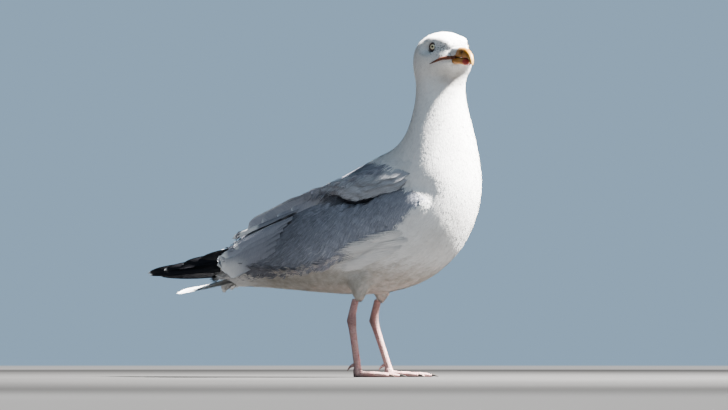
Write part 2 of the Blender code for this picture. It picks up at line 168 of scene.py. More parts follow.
def vertex_normals(mesh):
    normals = np.empty(len(mesh.vertices) * 3, np.float32)
    mesh.vertices.foreach_get("normal", normals)
    return normals.reshape(-1, 3).astype(float)


def move_points(mesh, points):
    mesh.vertices.foreach_set("co", points.astype(np.float32).ravel())
    mesh.update()


def joined(names):
    """The CAD nodes' meshes as one array of points and one of triangles."""
    points, faces, start = [], [], 0
    for name in names:
        p, f = arrays_of(NODES[name].data)
        points.append(p)
        faces.append(f + start)
        start += len(p)
    return np.concatenate(points), np.concatenate(faces)


def with_modifiers(obj):
    """Applies the object's modifiers to its mesh."""
    graph = bpy.context.evaluated_depsgraph_get()
    made = bpy.data.meshes.new_from_object(obj.evaluated_get(graph))
    obj.modifiers.clear()
    old, obj.data = obj.data, made
    bpy.data.meshes.remove(old)
    return obj


def remeshed(name, nodes, voxel, rounds):
    """One closed skin round the CAD nodes, smoothed a number of rounds."""
    obj = mesh_object(name, *joined(nodes))
    step = obj.modifiers.new("one_skin", "REMESH")
    step.mode, step.voxel_size, step.use_smooth_shade = "VOXEL", voxel, True
    step = obj.modifiers.new("relax", "SMOOTH")
    step.factor, step.iterations = 0.5, rounds
    return with_modifiers(obj)


FAR_OUT = 0.3


class Surface:
    """A mesh that feathers are laid on, with its nearest points and smooth normals."""

    def __init__(self, mesh):
        self.points, self.faces = arrays_of(mesh)
        self.normals = vertex_normals(mesh)
        self.tree = BVHTree.FromPolygons(self.points.tolist(), self.faces.tolist())

    def nearest(self, places):
        flat = places.reshape(-1, 3)
        found, index = np.empty_like(flat), np.empty(len(flat), int)
        for i, place in enumerate(flat):
            found[i], _, index[i], _ = self.tree.find_nearest(place)
        corners = self.faces[index]
        gap = np.linalg.norm(self.points[corners] - found[:, None], axis=2) + 1e-5
        weight = (1 / gap)[..., None]
        normal = unit((self.normals[corners] * weight).sum(axis=1))
        return found.reshape(places.shape), normal.reshape(places.shape)

    def distance(self, places):
        return np.array([self.tree.find_nearest(place)[3] for place in places])

    def outside(self, places, side):
        """Where a level line across the bird, from far outside on that side, meets the surface."""
        found = np.array(places, float)
        for i, (x, y, z) in enumerate(found):
            hit = self.tree.ray_cast((x, side * FAR_OUT, z), (0, -side, 0))[0]
            if hit is None:
                hit = self.tree.find_nearest((x, y, z))[0]
            found[i] = (x, hit[1], z)
        return found


# ---------------------------------------------------------------- skin

FLESH = ["trunk", "neck", "head", "thigh_left", "thigh_right", "wing_left", "wing_right"]
LEG_FLESH = ["shank", "foot", "hind_toe"]
SKIN_VOXEL, LEG_VOXEL = 2.0 * MM, 0.7 * MM

wing_surface = {side: Surface(NODES[f"wing_{name}"].data) for name, side in SIDES.items()}
trunk_surface = Surface(NODES["trunk"].data)


def in_wing(points):
    """1 where a place belongs to a folded wing, 0 where it belongs to the body."""
    nearer = np.minimum(wing_surface[-1].distance(points), wing_surface[1].distance(points))
    return smooth(-0.6 * MM, 0.6 * MM, trunk_surface.distance(points) - nearer)


# The shadowed hollow under the shoulder feathers: x, upper edge z, lower edge z.
HOLLOW = [
    (-60, 236, 229), (-47, 235, 227), (-34, 232, 224.5), (-22, 229, 218.5), (-2, 229, 218), (13, 231, 221.5),
    (25, 233, 226.5), (30, 235, 231.5), (45, 239, 236), (60, 241, 238), (70, 241, 240),
]
HOLLOW_DEEP_MM, HOLLOW_SOFT_MM, HOLLOW_OVER_MM = 6.0, 1.5, 3


def in_hollow(points):
    """1 inside the hollow below the shoulder feathers, 0 outside it."""
    x, out, z = folded(bird_mm(points)).T
    at_x, upper, lower = np.array(HOLLOW, float).T
    above = smooth(-HOLLOW_SOFT_MM, HOLLOW_SOFT_MM, z - np.interp(x, at_x, lower))
    below = smooth(-HOLLOW_SOFT_MM, HOLLOW_SOFT_MM, np.interp(x, at_x, upper) + HOLLOW_OVER_MM - z)
    return above * below * smooth(-62, -45, x) * smooth(70, 62, x) * smooth(30, 38, out)


# The coat's depth in mm on the body, how much thinner it is on the neck, on the head, on the wing
# and how much thinner at the wing's rear, and the share that is lost close to an eye.
BODY_DEPTH, NECK_LESS, HEAD_DEPTH, WING_DEPTH, WING_REAR_LESS, EYE_LESS = 2.6, 1.2, 0.9, 2.0, 1.2, 0.75


def coat_depth(points, wing):
    """How deep the skin lies below the coat's outline."""
    head = to_head(points)
    on_head = smooth(-50 * MM, -34 * MM, head[:, 2]) * smooth(-75 * MM, -45 * MM, head[:, 0])
    body = BODY_DEPTH - NECK_LESS * smooth(250 * MM, 330 * MM, points[:, 2])
    depth = body + (HEAD_DEPTH - body) * on_head
    rear = smooth(-60 * MM, -150 * MM, points[:, 0] - ORIGIN[0])
    on_wing = WING_DEPTH - WING_REAR_LESS * rear
    depth = depth + (on_wing - depth) * wing + HOLLOW_DEEP_MM * in_hollow(points)
    eyes = np.minimum(*(np.linalg.norm(points - centre_of(f"eye_{name}"), axis=1) for name in SIDES))
    return depth * (1 - EYE_LESS * smooth(13 * MM, 8 * MM, eyes)) * MM


BROW_HIGH_MM, FACE_DEEP_MM = 1.5, 2.8


def brow(points):
    """Height of the ridge over each eye, and the steep face drawn in below it towards the bill."""
    x, out, z = folded(head_mm(points)).T
    ahead = np.maximum(x, 0)
    ridge = bell(z - (10.2 - 0.012 * ahead**2), 2.8) * smooth(-18, -6, x) * smooth(26, 18, x)
    face = smooth(8.8, 4.3, z + 0.014 * ahead**2) * smooth(-26, -5, z) * smooth(-2, 9, x) * smooth(36, 27, x)
    return (BROW_HIGH_MM * ridge * smooth(5, 10, out) - FACE_DEEP_MM * face * smooth(4, 9, out)) * MM


def relaxed(points, faces, amount, rounds):
    """Places eased towards their neighbours' middle, each by its own amount."""
    ends = np.concatenate([faces[:, [0, 1]], faces[:, [1, 2]], faces[:, [2, 0]]])
    a, b = np.concatenate([ends, ends[:, ::-1]]).T
    size = len(points)
    share = 0.5 * amount / np.bincount(a, minlength=size)
    for _ in range(rounds):
        around = np.stack([np.bincount(a, points[b, k], size) for k in range(3)], axis=1)
        points = points * (1 - 0.5 * amount)[:, None] + around * share[:, None]
    return points


# x and greatest height of the wings' thin rear ends, and the place, reach and depth of the draw at
# their front ends, in mm.
WING_REAR_TOP = [(-228, 150), (-209, 161), (-190, 176)]
WING_FRONT, WING_FRONT_REACH, WING_FRONT_IN = (93, 54, 231), 14, 3.5
SKIN_RELAX, HEAD_RELAX, RELAX_ROUNDS = 1.0, 0.15, 30


def eased_wings(points):
    """The wings' thin rear ends kept under their long inner feathers, and their front ends drawn in."""
    bird = bird_mm(points)
    x, y, z = bird.T
    top = np.interp(x, *np.array(WING_REAR_TOP, float).T)
    near = bell(np.linalg.norm(folded(bird) - WING_FRONT, axis=1), WING_FRONT_REACH)
    moved = points.copy()
    moved[:, 2] -= 0.9 * np.maximum(z - top, 0) * smooth(-188, -196, x) * MM
    moved[:, 1] -= np.sign(y) * WING_FRONT_IN * near * MM
    return moved


def make_skin():
    """One skin for the parts of flesh, eased, and drawn in by the coat's depth."""
    made = remeshed("skin", FLESH, SKIN_VOXEL, 5)
    mesh = made.data
    points, faces = arrays_of(mesh)
    on_head = to_head(points)[:, 2] > -40 * MM
    points = eased_wings(relaxed(points, faces, np.where(on_head, HEAD_RELAX, SKIN_RELAX), RELAX_ROUNDS))
    move_points(mesh, points)
    normals = vertex_normals(mesh)
    points += normals * (brow(points) - coat_depth(points, in_wing(points)))[:, None]
    move_points(mesh, points)
    step = made.modifiers.new("settle", "SMOOTH")
    step.factor, step.iterations = 0.5, 2
    return with_modifiers(made)


skin = make_skin()
skin_surface = Surface(skin.data)
skin_points, skin_faces = skin_surface.points, skin_surface.faces


# ---------------------------------------------------------------- markings

# Upper and lower borders of the grey, seen from the side: x, z, from the middle of the back forwards.
GREY_TOP = [
    (-9, 420), (-7, 277), (20, 274.5), (33, 272), (42, 269), (50, 266), (56, 263.6), (62, 259.6), (66, 256),
    (68, 246), (69, 240), (84, 236), (96, 228), (99, 215),
]
GREY_LOW = [
    (-230, 122), (-170, 129), (-130, 131), (-96, 133), (-58, 138), (-38, 143), (-31, 149), (32, 166),
    (46.6, 176.5), (55.3, 188), (69.6, 205.7), (90, 220), (96, 228), (99, 240),
]
GREY_SOFT_MM = 1.2
GREY_LOST, HOLLOW_SHADE, RUMP_SHADE = 0.75, 0.75, 0.46  # grey lost at the wing's low rear; painted shade in the hollow and on the rump
# How strong the dirt and the painted shade low on the belly are; the painted shade is browner, as if lit by
# light thrown up from the ground.
BELLY_DIRT_AND_SHADE = 0.78
STAIN_AT = [  # dirt on the lower breast: place and reach in mm, strength
    ((128, 20, 196), 26, 0.30),
    ((108, 42, 176), 26, 0.34),
    ((90, 52, 158), 22, 0.30),
    ((66, 58, 146), 20, 0.25),
    ((136, 2, 218), 20, 0.15),
]
CHIN_SHADE_AT = [((16, 8, -36), 15, 0.55), ((26, 4, -28), 8, 0.35)]  # and painted shade, browner, under the chin, in head space


def marks_at(points):
    """Shares of grey, of black with painted shade, and of dirt with painted shade at places on the coat."""
    bird = folded(bird_mm(points))
    x, out, z = bird.T
    above, below = (np.interp(x, *np.array(line, float).T) for line in (GREY_TOP, GREY_LOW))
    inside = smooth(GREY_SOFT_MM, -GREY_SOFT_MM, z - above) * smooth(-GREY_SOFT_MM, GREY_SOFT_MM, z - below)
    grey = inside * (1 - GREY_LOST * smooth(-165, -198, x) * smooth(156, 140, z))
    rump = smooth(-10, -130, x) * smooth(-226, -190, x)
    # Painted shade: darker in the hollow under the shoulder feathers and over the rump, carried in the black
    # share.
    painted_shade = np.maximum(HOLLOW_SHADE * in_hollow(points), RUMP_SHADE * rump)
    black = np.maximum(painted_shade * grey, smooth(-218, -224, x) * smooth(120, 124, z) * smooth(3, 7, out))
    dirt_and_shade = np.zeros(len(points))
    for dirt_and_shade_spots, places in ((STAIN_AT, bird), (CHIN_SHADE_AT, folded(head_mm(points)))):
        for place, reach, strength in dirt_and_shade_spots:
            gap = np.linalg.norm(places - place, axis=1)
            dirt_and_shade = np.maximum(dirt_and_shade, strength * bell(gap, reach))
    # Dirt, and mostly painted shade, low on the belly, browned as painted warm light from the ground.
    dirt_and_shade = np.maximum(dirt_and_shade, BELLY_DIRT_AND_SHADE * smooth(166, 126, z) * smooth(-200, -120, x) * smooth(130, 80, x))
    return np.stack([grey, black, dirt_and_shade * (1 - grey)], axis=1)


# The middle line from the tail through the neck to past the crown: x and z.
SPINE = [
    (-300, 120), (-220, 128), (-120, 160), (0, 190), (70, 230), (92, 300), (90, 380), (100, 420), (112, 470),
]


def unwrap(points):
    """Each place on an unwrap of the skin: along the bird from tail to crown, and round its middle."""
    bird = bird_mm(points)
    spine = np.array(SPINE, float)
    lengths = np.concatenate([[0], np.cumsum(np.linalg.norm(np.diff(spine, axis=0), axis=1))])
    best = np.full(len(bird), 1e9)
    place, across = np.zeros(len(bird)), np.zeros((len(bird), 2))
    flat = bird[:, [0, 2]]
    for i, (a, b) in enumerate(zip(spine, spine[1:])):
        d = (b - a) / np.linalg.norm(b - a)
        t = np.clip((flat - a) @ d, 0, lengths[i + 1] - lengths[i])
        gap = np.linalg.norm(flat - a - t[:, None] * d, axis=1)
        off = (flat - a) @ np.array([-d[1], d[0]])
        nearer = gap < best
        best = np.where(nearer, gap, best)
        place = np.where(nearer, lengths[i] + t, place)
        across[nearer] = np.stack([off, bird[:, 1]], 1)[nearer]
    turn = np.arctan2(across[:, 1], across[:, 0]) / (2 * math.pi) + 0.5
    return np.stack([place / lengths[-1], turn], axis=1)


MAP_MARGIN = 0.02


def own_map(points):
    """The places of one piece on the unwrap, widened to fill its map."""
    uv = unwrap(points)
    low, high = uv.min(axis=0), uv.max(axis=0)
    return MAP_MARGIN + (uv - low) / np.maximum(high - low, 1e-9) * (1 - 2 * MAP_MARGIN)


# ---------------------------------------------------------------- the coat's lie

# Each row: a place on the bird (mm), the way feathers point there (y outwards), their length and
# how far their tips stand off the skin, in mm.
BODY_LIE = [
    ((-235, 0, 135), (-1, 0, -0.15), 14, 0.9),
    ((-140, 0, 203), (-1, 0, -0.45), 21.3, 1.7),
    ((-60, 0, 252), (-1, 0, -0.4), 19.7, 1.9),
    ((10, 0, 287), (-0.9, 0, -0.45), 16.4, 1.9),
    ((38, 0, 312), (-0.45, 0, -0.9), 12.3, 1.7),
    ((50, 0, 350), (0, 0, -1), 9, 1.5),
    ((50, 0, 388), (0, 0, -1), 6.6, 1.3),
    ((88, 33, 350), (-0.1, 0, -1), 9, 1.5),
    ((90, 33, 310), (-0.15, 0, -1), 10.7, 1.6),
    ((122, 0, 350), (0, 0, -1), 8.2, 1.4),
    ((120, 0, 378), (0, 0, -1), 6.6, 1.3),
    ((135, 0, 290), (0, 0, -1), 11.5, 1.7),
    ((138, 0, 240), (-0.1, 0, -1), 13.9, 2),
    ((125, 0, 185), (-0.6, 0, -0.8), 16.4, 2.1),
    ((70, 0, 125), (-1, 0, -0.25), 18, 2.1),
    ((0, 0, 104), (-1, 0, 0), 19.7, 2.1),
    ((-100, 0, 107), (-1, 0, 0.03), 21.3, 1.9),
    ((-170, 0, 111), (-1, 0, 0.03), 18, 1.4),
    ((-225, 0, 115), (-1, 0, 0.0), 14, 0.8),
    ((80, 52, 262), (-0.3, 0.05, -0.95), 13.1, 2),
    ((100, 55, 225), (-0.45, 0.1, -0.9), 13.9, 2.1),
    ((100, 58, 190), (-0.7, 0.1, -0.7), 16.4, 2.2),
    ((62, 62, 158), (-0.95, 0.1, -0.2), 21.3, 2.6),
    ((20, 60, 145), (-1, 0.05, 0.05), 23, 2.6),
    ((-60, 52, 128), (-1, 0, 0), 22.1, 2.1),
    ((-130, 35, 122), (-1, 0, 0), 22.1, 1.9),
    ((-16, 50, 108), (-0.35, 0, -1), 10.7, 1.7),
    ((-16, 33, 98), (-0.2, 0, -1), 8.2, 1.5),
    ((35, 45, 272), (-0.75, 0, -0.65), 19.7, 2.1),
    ((-30, 45, 255), (-0.9, 0, -0.45), 21.3, 2.1),
]
HEAD_LIE = [
    ((23, 0, 2), (-0.5, 0, 0.85), 2.2, 0.6),
    ((20, 0, 9), (-0.7, 0, 0.7), 2.5, 0.7),
    ((0, 0, 20), (-1, 0, 0.12), 4.1, 1),
    ((-28, 0, 20), (-1, 0, -0.4), 5.4, 1.2),
    ((-52, 0, 4), (-0.2, 0, -1), 6.8, 1.4),
    ((19, 12, -3), (-0.9, 0.3, 0.1), 2.1, 0.6),
    ((15, 17, -13), (-1, 0.2, -0.1), 2.7, 0.8),
    ((8, 22, 8), (-1, 0.1, 0.1), 2.7, 0.6),
    ((0, 25, -6), (-1, 0, -0.25), 2.7, 0.6),
    ((-8, 27, 6), (-1, 0, -0.05), 2.9, 0.6),
    ((-22, 30, -2), (-1, 0, -0.3), 4.5, 1),
    ((-4, 25, -20), (-1, 0, -0.35), 4.1, 1),
    ((-38, 33, -10), (-0.6, 0, -0.8), 5.9, 1.3),
    ((27, 0, -25), (-1, 0, -0.2), 2.9, 0.8),
    ((20, 8, -28), (-0.7, 0, -0.6), 3.8, 1),
    ((13, 0, -38), (-0.1, 0, -1), 6.3, 1.4),
    ((-20, 32, -32), (-0.3, 0, -1), 7.2, 1.5),
]
WING_LIE = [
    ((95, 56, 231), (-0.55, 0, -0.84), 8.1, 1.1),
    ((80, 58, 212), (-0.5, 0, -0.87), 10.8, 1.3),
    ((50, 60, 212), (-0.42, 0, -0.9), 11.7, 1.4),
    ((50, 62, 182), (-0.45, 0, -0.9), 13.5, 1.5),
    ((0, 62, 205), (-0.45, 0, -0.9), 14.4, 1.6),
    ((0, 64, 168), (-0.55, 0, -0.84), 18, 1.6),
    ((-60, 52, 195), (-0.6, 0, -0.8), 18, 1.6),
    ((-60, 56, 150), (-0.75, 0, -0.66), 21.6, 1.6),
    ((-120, 35, 195), (-0.75, 0, -0.66), 21.6, 1.5),
    ((-120, 45, 145), (-0.85, 0, -0.5), 25.2, 1.5),
    ((-175, 28, 165), (-0.88, 0, -0.45), 27, 1.2),
    ((-60, 30, 222), (-0.88, 0, -0.47), 21.6, 1.6),
]


def lie_table(rows, place_of, turn):
    """The rows of both sides as places, ways, and lengths with rises, in metres."""
    places, ways, sizes = [], [], []
    for place, way, length, rise in rows:
        for side in SIDES.values():
            places.append(place_of(place, side))
            ways.append(turn @ (np.array(way) * [1, side, 1]))
            sizes.append((length * MM, rise * MM))
    return np.array(places), unit(ways), np.array(sizes)


def body_place(place, side):
    return spot(*place, side)


def head_place(place, side):
    return from_head(np.array(place) * [1, side, 1] * MM)


WING_ROWS = lie_table(WING_LIE, body_place, np.eye(3))
BODY_ROWS = tuple(np.concatenate(pair) for pair in zip(
    lie_table(BODY_LIE, body_place, np.eye(3)), lie_table(HEAD_LIE, head_place, HEAD_AXES)))
LIE_FALLOFF, LIE_BATCH = -3.5, 20000


def lie_at(points, rows):
    """The way feathers point, their length and their rise, blended from the rows nearest a place."""
    places, ways, sizes = rows
    way, size = np.empty((len(points), 3)), np.empty((len(points), 2))
    for start in range(0, len(points), LIE_BATCH):
        part = slice(start, start + LIE_BATCH)
        gap = np.linalg.norm(points[part, None] - places, axis=2) + 1 * MM
        weight = gap ** LIE_FALLOFF
        weight /= weight.sum(axis=1, keepdims=True)
        way[part], size[part] = weight @ ways, weight @ sizes
    return unit(way), size[:, 0], size[:, 1]


# ---------------------------------------------------------------- roots

def face_crosses(surface):
    """Each face's normal, as long as twice its area."""
    a, b, c = surface.points[surface.faces].transpose(1, 0, 2)
    return np.cross(b - a, c - a)


def scattered(surface, wanted, spacing_of, tries):
    """Places spread over the wanted faces, each as far from those before it as spacing_of says."""
    corners = surface.points[surface.faces]
    area = np.linalg.norm(face_crosses(surface), axis=1) * wanted
    pick = RANDOM.choice(len(area), tries, p=area / area.sum())
    a, b = RANDOM.random((2, tries, 1))
    over = a + b > 1
    a, b = np.where(over, 1 - a, a), np.where(over, 1 - b, b)
    t = corners[pick]
    places = t[:, 0] + a * (t[:, 1] - t[:, 0]) + b * (t[:, 2] - t[:, 0])
    spacing = spacing_of(places)
    cell = float(np.percentile(spacing, 90))
    keys = np.floor(places / cell).astype(int)
    taken, kept = {}, []
    around = [(i, j, k) for i in (-1, 0, 1) for j in (-1, 0, 1) for k in (-1, 0, 1)]
    for n, (key, place, room) in enumerate(zip(map(tuple, keys), places.tolist(), spacing.tolist())):
        x, y, z = place
        near = False
        for i, j, k in around:
            for q in taken.get((key[0] + i, key[1] + j, key[2] + k), ()):
                if (q[0] - x) ** 2 + (q[1] - y) ** 2 + (q[2] - z) ** 2 < room * room:
                    near = True
                    break
            if near:
                break
        if not near:
            taken.setdefault(key, []).append(place)
            kept.append(n)
    return places[kept]


# ---------------------------------------------------------------- feathers

def laid(surface, roots, ways, lengths, steps):
    """Centre lines over a surface from their roots, each heading one way, and the normals along them."""
    line = np.empty((len(roots), steps + 1, 3))
    normals = np.empty_like(line)
    place, normal = surface.nearest(roots)
    line[:, 0], normals[:, 0] = place, normal
    heading = ways
    for k in range(steps):
        tangent = unit(heading - normal * (heading * normal).sum(1, keepdims=True))
        place, normal = surface.nearest(place + tangent * (lengths / steps)[:, None])
        line[:, k + 1], normals[:, k + 1] = place, normal
    normals[:, 1:-1] = unit(normals[:, :-2] + normals[:, 1:-1] + normals[:, 2:])
    return line, normals


def at_share(values, share):
    """Values along a line at shares from 0 to 1, one share per line and station."""
    steps = values.shape[1] - 1
    place = np.clip(share, 0, 1) * steps
    low = np.minimum(place.astype(int), steps - 1)
    part = (place - low)[..., None]
    index = np.arange(len(values)).reshape((-1,) + (1,) * (share.ndim - 1))
    return values[index, low] * (1 - part) + values[index, low + 1] * part


def per_point(values, grid):
    """Values of lines, stations or edges given to each point of a grid."""
    return np.broadcast_to(values, grid.shape[:-1]).reshape(-1)


# A fan's shape as shares of the feather: how much shorter its outer locks are, how wide it is at the
# root, how much each lock overlaps the next, how hollow it lies, and how unevenly its locks rise.
FAN_ROUND, FAN_ROOT, FAN_OVERLAP, FAN_HOLLOW, FAN_UNEVEN = 0.30, 0.30, 1.25, 0.35, 0.14


def fans(line, normals, half_width, rise, blades, stations, fray=0.12, curl=0.0, splay=0.14, lean=0.10):
    """Feathers as fans of overlapping barb locks that taper to points along a round tip.

    fray is how unevenly the locks end, curl how much more or less the tips rise, splay how far the
    shading turns to the sides of each lock and lean how far it turns back towards the root.
    Returns points, triangles and, for each point, which feather it is on, its share along and
    across the vane, a number of its lock's own and its normal.
    """
    count = len(line)
    tangent = unit(np.gradient(line, axis=1))
    beside = unit(np.cross(normals, tangent))
    across = np.linspace(-1, 1, blades)[None, :] * np.ones((count, 1))
    across = across + RANDOM.normal(0, 0.35 / blades, across.shape)
    end = 1 - FAN_ROUND * across**2 + RANDOM.normal(0, fray, across.shape) * 0.6
    end = np.clip(end, 0.45, 1.12)
    own = RANDOM.random(across.shape)
    q = np.linspace(0, 1, stations + 1)
    share = q[None, None, :] * end[..., None]
    spread = FAN_ROOT + 0.70 * smooth(0.0, 0.55, share)
    lateral = across[..., None] * spread
    half = spread / blades * FAN_OVERLAP * (1 - 0.999 * q**3) + 0.002
    flat = share.reshape(count, -1)
    centre, up, out, way = (
        at_share(v, flat).reshape(share.shape + (3,)) for v in (line, normals, beside, tangent)
    )
    up, out = unit(up), unit(out)
    last = line[:, -1] - line[:, -2]
    pace = np.linalg.norm(last, axis=1)[:, None, None, None]
    beyond = np.maximum(share - 1, 0)[..., None] * pace * (line.shape[1] - 1)
    centre = centre + unit(last)[:, None, None] * beyond
    lift = rise[:, None, None] * (
        0.06 + 0.94 * share + curl * share**3 - FAN_HOLLOW * lateral**2 * (0.3 + 0.7 * share)
        + (own[..., None] - 0.5) * FAN_UNEVEN * share
    )
    points, places = [], []
    for edge in (-1, 1):
        place = lateral + edge * half
        drop = lift - rise[:, None, None] * 0.05 * (edge > 0)
        points.append(centre + out * (place * half_width[:, None, None])[..., None] + up * drop[..., None])
        places.append(place)
    grid = np.stack(points, axis=3)
    index = np.arange(count * blades)[:, None] * ((stations + 1) * 2)
    quads = []
    for s in range(stations):
        a = 2 * s
        if s < stations - 1:
            quads += [(a, a + 3, a + 1), (a, a + 2, a + 3)]
        else:
            quads.append((a, a + 2, a + 1))
    normal = unit(
        (up - way * lean)[..., None, :] + out[..., None, :] * (splay * np.array([-1, 1])[:, None])
    )
    return {
        "points": grid.reshape(-1, 3),
        "faces": (index[:, :, None] + np.array(quads)[None]).reshape(-1, 3),
        "feather": per_point(np.arange(count)[:, None, None, None], grid),
        "along": per_point(share[..., None], grid),
        "across": np.stack(places, axis=3).reshape(-1),
        "own": per_point(own[:, :, None, None], grid),
        "normals": normal.reshape(-1, 3),
    }


VANE_COLUMNS = 9
SHAFT_REACH, SHAFT_HIGH = 0.12, 0.3 * MM


def vanes(line, normals, half_width, rise, profile, thick, camber, fray):
    """Feathers as closed thin vanes about a shaft, with an outline given by profile(along, side).

    Rows of the grid run from root to tip. The under side lies a little below the upper one, and
    the two join at the edges and the tip. camber is how far the edges bend down, fray how deep
    they are nicked, both as shares of the half width.
    """
    count, stations = line.shape[:2]
    columns = VANE_COLUMNS
    tangent = unit(np.gradient(line, axis=1))
    beside = unit(np.cross(normals, tangent))
    share = np.linspace(0, 1, stations)
    across = np.linspace(-1, 1, columns)
    wide = np.stack([profile(share, side) for side in (-1, 1)], axis=1)
    off = across[None, :] * np.where(across[None, :] < 0, wide[:, :1], wide[:, 1:])
    off = np.broadcast_to(off[None], (count, stations, columns)).copy()
    notch = RANDOM.random((count, stations, 2)) ** 3 * fray
    off[:, :, 0] *= 1 - notch[:, :, 0]
    off[:, :, -1] *= 1 - notch[:, :, 1]
    shaft = bell(across, SHAFT_REACH) * SHAFT_HIGH * (1 - 0.7 * share[:, None])
    lift = rise[:, None, None] * share[None, :, None] + shaft[None]
    lift = lift - camber * half_width[:, None, None] * off**2
    top = (
        line[:, :, None] + beside[:, :, None] * (off * half_width[:, None, None])[..., None]
        + normals[:, :, None] * lift[..., None]
    )
    edge = 1 - np.abs(across) ** 6
    under = top - normals[:, :, None] * (thick * (0.25 + 0.75 * edge))[None, None, :, None]
    grid = np.stack([top, under], axis=1)
    size = stations * columns
    faces = []
    for layer in (0, 1):
        for i in range(stations - 1):
            for j in range(columns - 1):
                a = layer * size + i * columns + j
                quad = (a, a + 1, a + columns + 1, a + columns)
                faces.append(quad if layer == 0 else quad[::-1])
    ring = (
        [i * columns for i in range(stations)]
        + [(stations - 1) * columns + j for j in range(1, columns)]
        + [i * columns + columns - 1 for i in range(stations - 2, -1, -1)]
    )
    for a, b in zip(ring, ring[1:]):
        faces.append((b, a, a + size, b + size))
    faces = np.array(faces)
    triangles = np.concatenate([faces[:, [0, 1, 2]], faces[:, [0, 2, 3]]])
    index = np.arange(count)[:, None, None] * (2 * size)
    return {
        "points": grid.reshape(-1, 3),
        "faces": (index + triangles[None]).reshape(-1, 3),
        "feather": per_point(np.arange(count)[:, None, None, None], grid),
        "along": per_point(share[None, None, :, None], grid),
        "across": per_point(off[:, None], grid),
        "own": np.full(count * 2 * size, 0.5),
        "normals": None,
    }


PATCH = 0.003  # how wide a small feather's patch is on the map


def feather_piece(name, made, marks, uv, lengths, widths, material, cell=None):
    """One mesh of feathers. marks are per feather or per point, and the rest is per feather.

    With a cell's size each feather fills a cell of the map from its place, and otherwise it is a
    small patch about its place.
    """
    obj = mesh_object(name, made["points"], made["faces"], material)
    which, along, across = made["feather"], made["along"], made["across"]
    put_vector(obj, "marks", marks if len(marks) == len(which) else marks[which])
    odd = RANDOM.random(len(uv))
    put_vector(obj, "vane", np.stack([along, across, odd[which]], axis=1))
    put_vector(obj, "barb", np.stack([
        along * lengths[which] / MM, across * widths[which] / MM, made["own"]], axis=1))
    if cell is not None:
        put_map(obj, uv[which] + np.stack([along * cell[0], (across * 0.5 + 0.5) * cell[1]], axis=1))
    else:
        local = np.stack([along - 0.5, across * 0.5], axis=1) * PATCH
        put_map(obj, np.clip(uv[which] + local, 0.001, 0.999))
    if made["normals"] is not None:
        obj.data.normals_split_custom_set_from_vertices(made["normals"].tolist())
    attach(obj, "root")
    return obj


# ---------------------------------------------------------------- materials

class Nodes:
    """Adds shader nodes to a tree: values or links go in by the socket's name or number."""

    def __init__(self, tree):
        self.tree = tree

    def feed(self, socket, value):
        if isinstance(value, bpy.types.NodeSocket):
            self.tree.links.new(value, socket)
        else:
            socket.default_value = value

    def add(self, kind, inputs=None, **settings):
        node = self.tree.nodes.new("ShaderNode" + kind)
        for key, value in settings.items():
            setattr(node, key, value)
        for key, value in (inputs or {}).items():
            self.feed(node.inputs[key], value)
        return node

    def place(self):
        return self.add("NewGeometry").outputs["Position"]

    def maths(self, operation, *values):
        return self.add("Math", dict(enumerate(values)), operation=operation).outputs[0]

    def attribute(self, name):
        node = self.add("Attribute", attribute_name=name)
        return self.add("SeparateXYZ", {0: node.outputs["Vector"]}).outputs

    def ramp(self, value, low, high, start=0.0, end=1.0):
        return self.add("MapRange", {
            "Value": value, "From Min": low, "From Max": high, "To Min": start, "To Max": end,
        }, interpolation_type="SMOOTHSTEP").outputs[0]

    def mixed(self, share, a, b, blend="MIX"):
        node = self.add("Mix", data_type="RGBA", blend_type=blend)
        for number, value in ((0, share), (6, a), (7, b)):  # the factor's and the colours' sockets
            self.feed(node.inputs[number], value)
        return node.outputs[2]

    def noise(self, vector, scale, detail=3.0, rough=0.55):
        return self.add("TexNoise", {
            "Vector": vector, "Scale": scale, "Detail": detail, "Roughness": rough,
        }).outputs[0]

    def vector(self, x, y, z):
        return self.add("CombineXYZ", {0: x, 1: y, 2: z}).outputs[0]


def colour(r, g, b):
    return (r, g, b, 1.0)


OUTPUTS = {"Color": "NodeSocketColor", "Roughness": "NodeSocketFloat", "Height": "NodeSocketFloat"}


def make_group(name, build):
    """A node group that puts out what build gives for colour, roughness and height."""
    tree = bpy.data.node_groups.new(name, "ShaderNodeTree")
    for output, kind in OUTPUTS.items():
        tree.interface.new_socket(output, in_out="OUTPUT", socket_type=kind)
    made = build(Nodes(tree))
    end = tree.nodes.new("NodeGroupOutput")
    for output in OUTPUTS:
        tree.links.new(made[output], end.inputs[output])
    return tree


# The brown below serves real dirt and painted shade low on the belly and under the chin.
WHITE, BLACK, DIRT_AND_SHADE = colour(0.87, 0.87, 0.86), colour(0.006, 0.006, 0.009), colour(0.29, 0.25, 0.19)
GREY, GREY_EDGE = colour(0.30, 0.315, 0.37), colour(0.52, 0.53, 0.58)
PINK, PINK_PALE = colour(0.70, 0.36, 0.34), colour(0.80, 0.55, 0.50)
# The darker leg colour: painted shade, and darker tone.
LEG_SHADE_AND_TONE, LEG_CREASE = colour(0.27, 0.17, 0.17), colour(0.42, 0.30, 0.30)
OCHRE, YELLOW = colour(0.30, 0.112, 0.005), colour(0.44, 0.185, 0.009)
HORN_TIP, HORN_RED = colour(0.60, 0.36, 0.10), colour(0.33, 0.016, 0.008)
# Dark horn: painted shade on the bill, and the mouth's darker corner.
HORN_DARK = colour(0.05, 0.018, 0.012)
DIM, BRIGHT = colour(0.3, 0.3, 0.3), colour(0.7, 0.7, 0.7)
CLAW_DARK, CLAW_BROWN = colour(0.018, 0.014, 0.013), colour(0.10, 0.075, 0.06)
IRIS, IRIS_PALE, IRIS_INNER = colour(0.55, 0.50, 0.30), colour(0.80, 0.76, 0.56), colour(0.46, 0.36, 0.16)
PUPIL, IRIS_RIM = colour(0.004, 0.004, 0.005), colour(0.012, 0.010, 0.010)
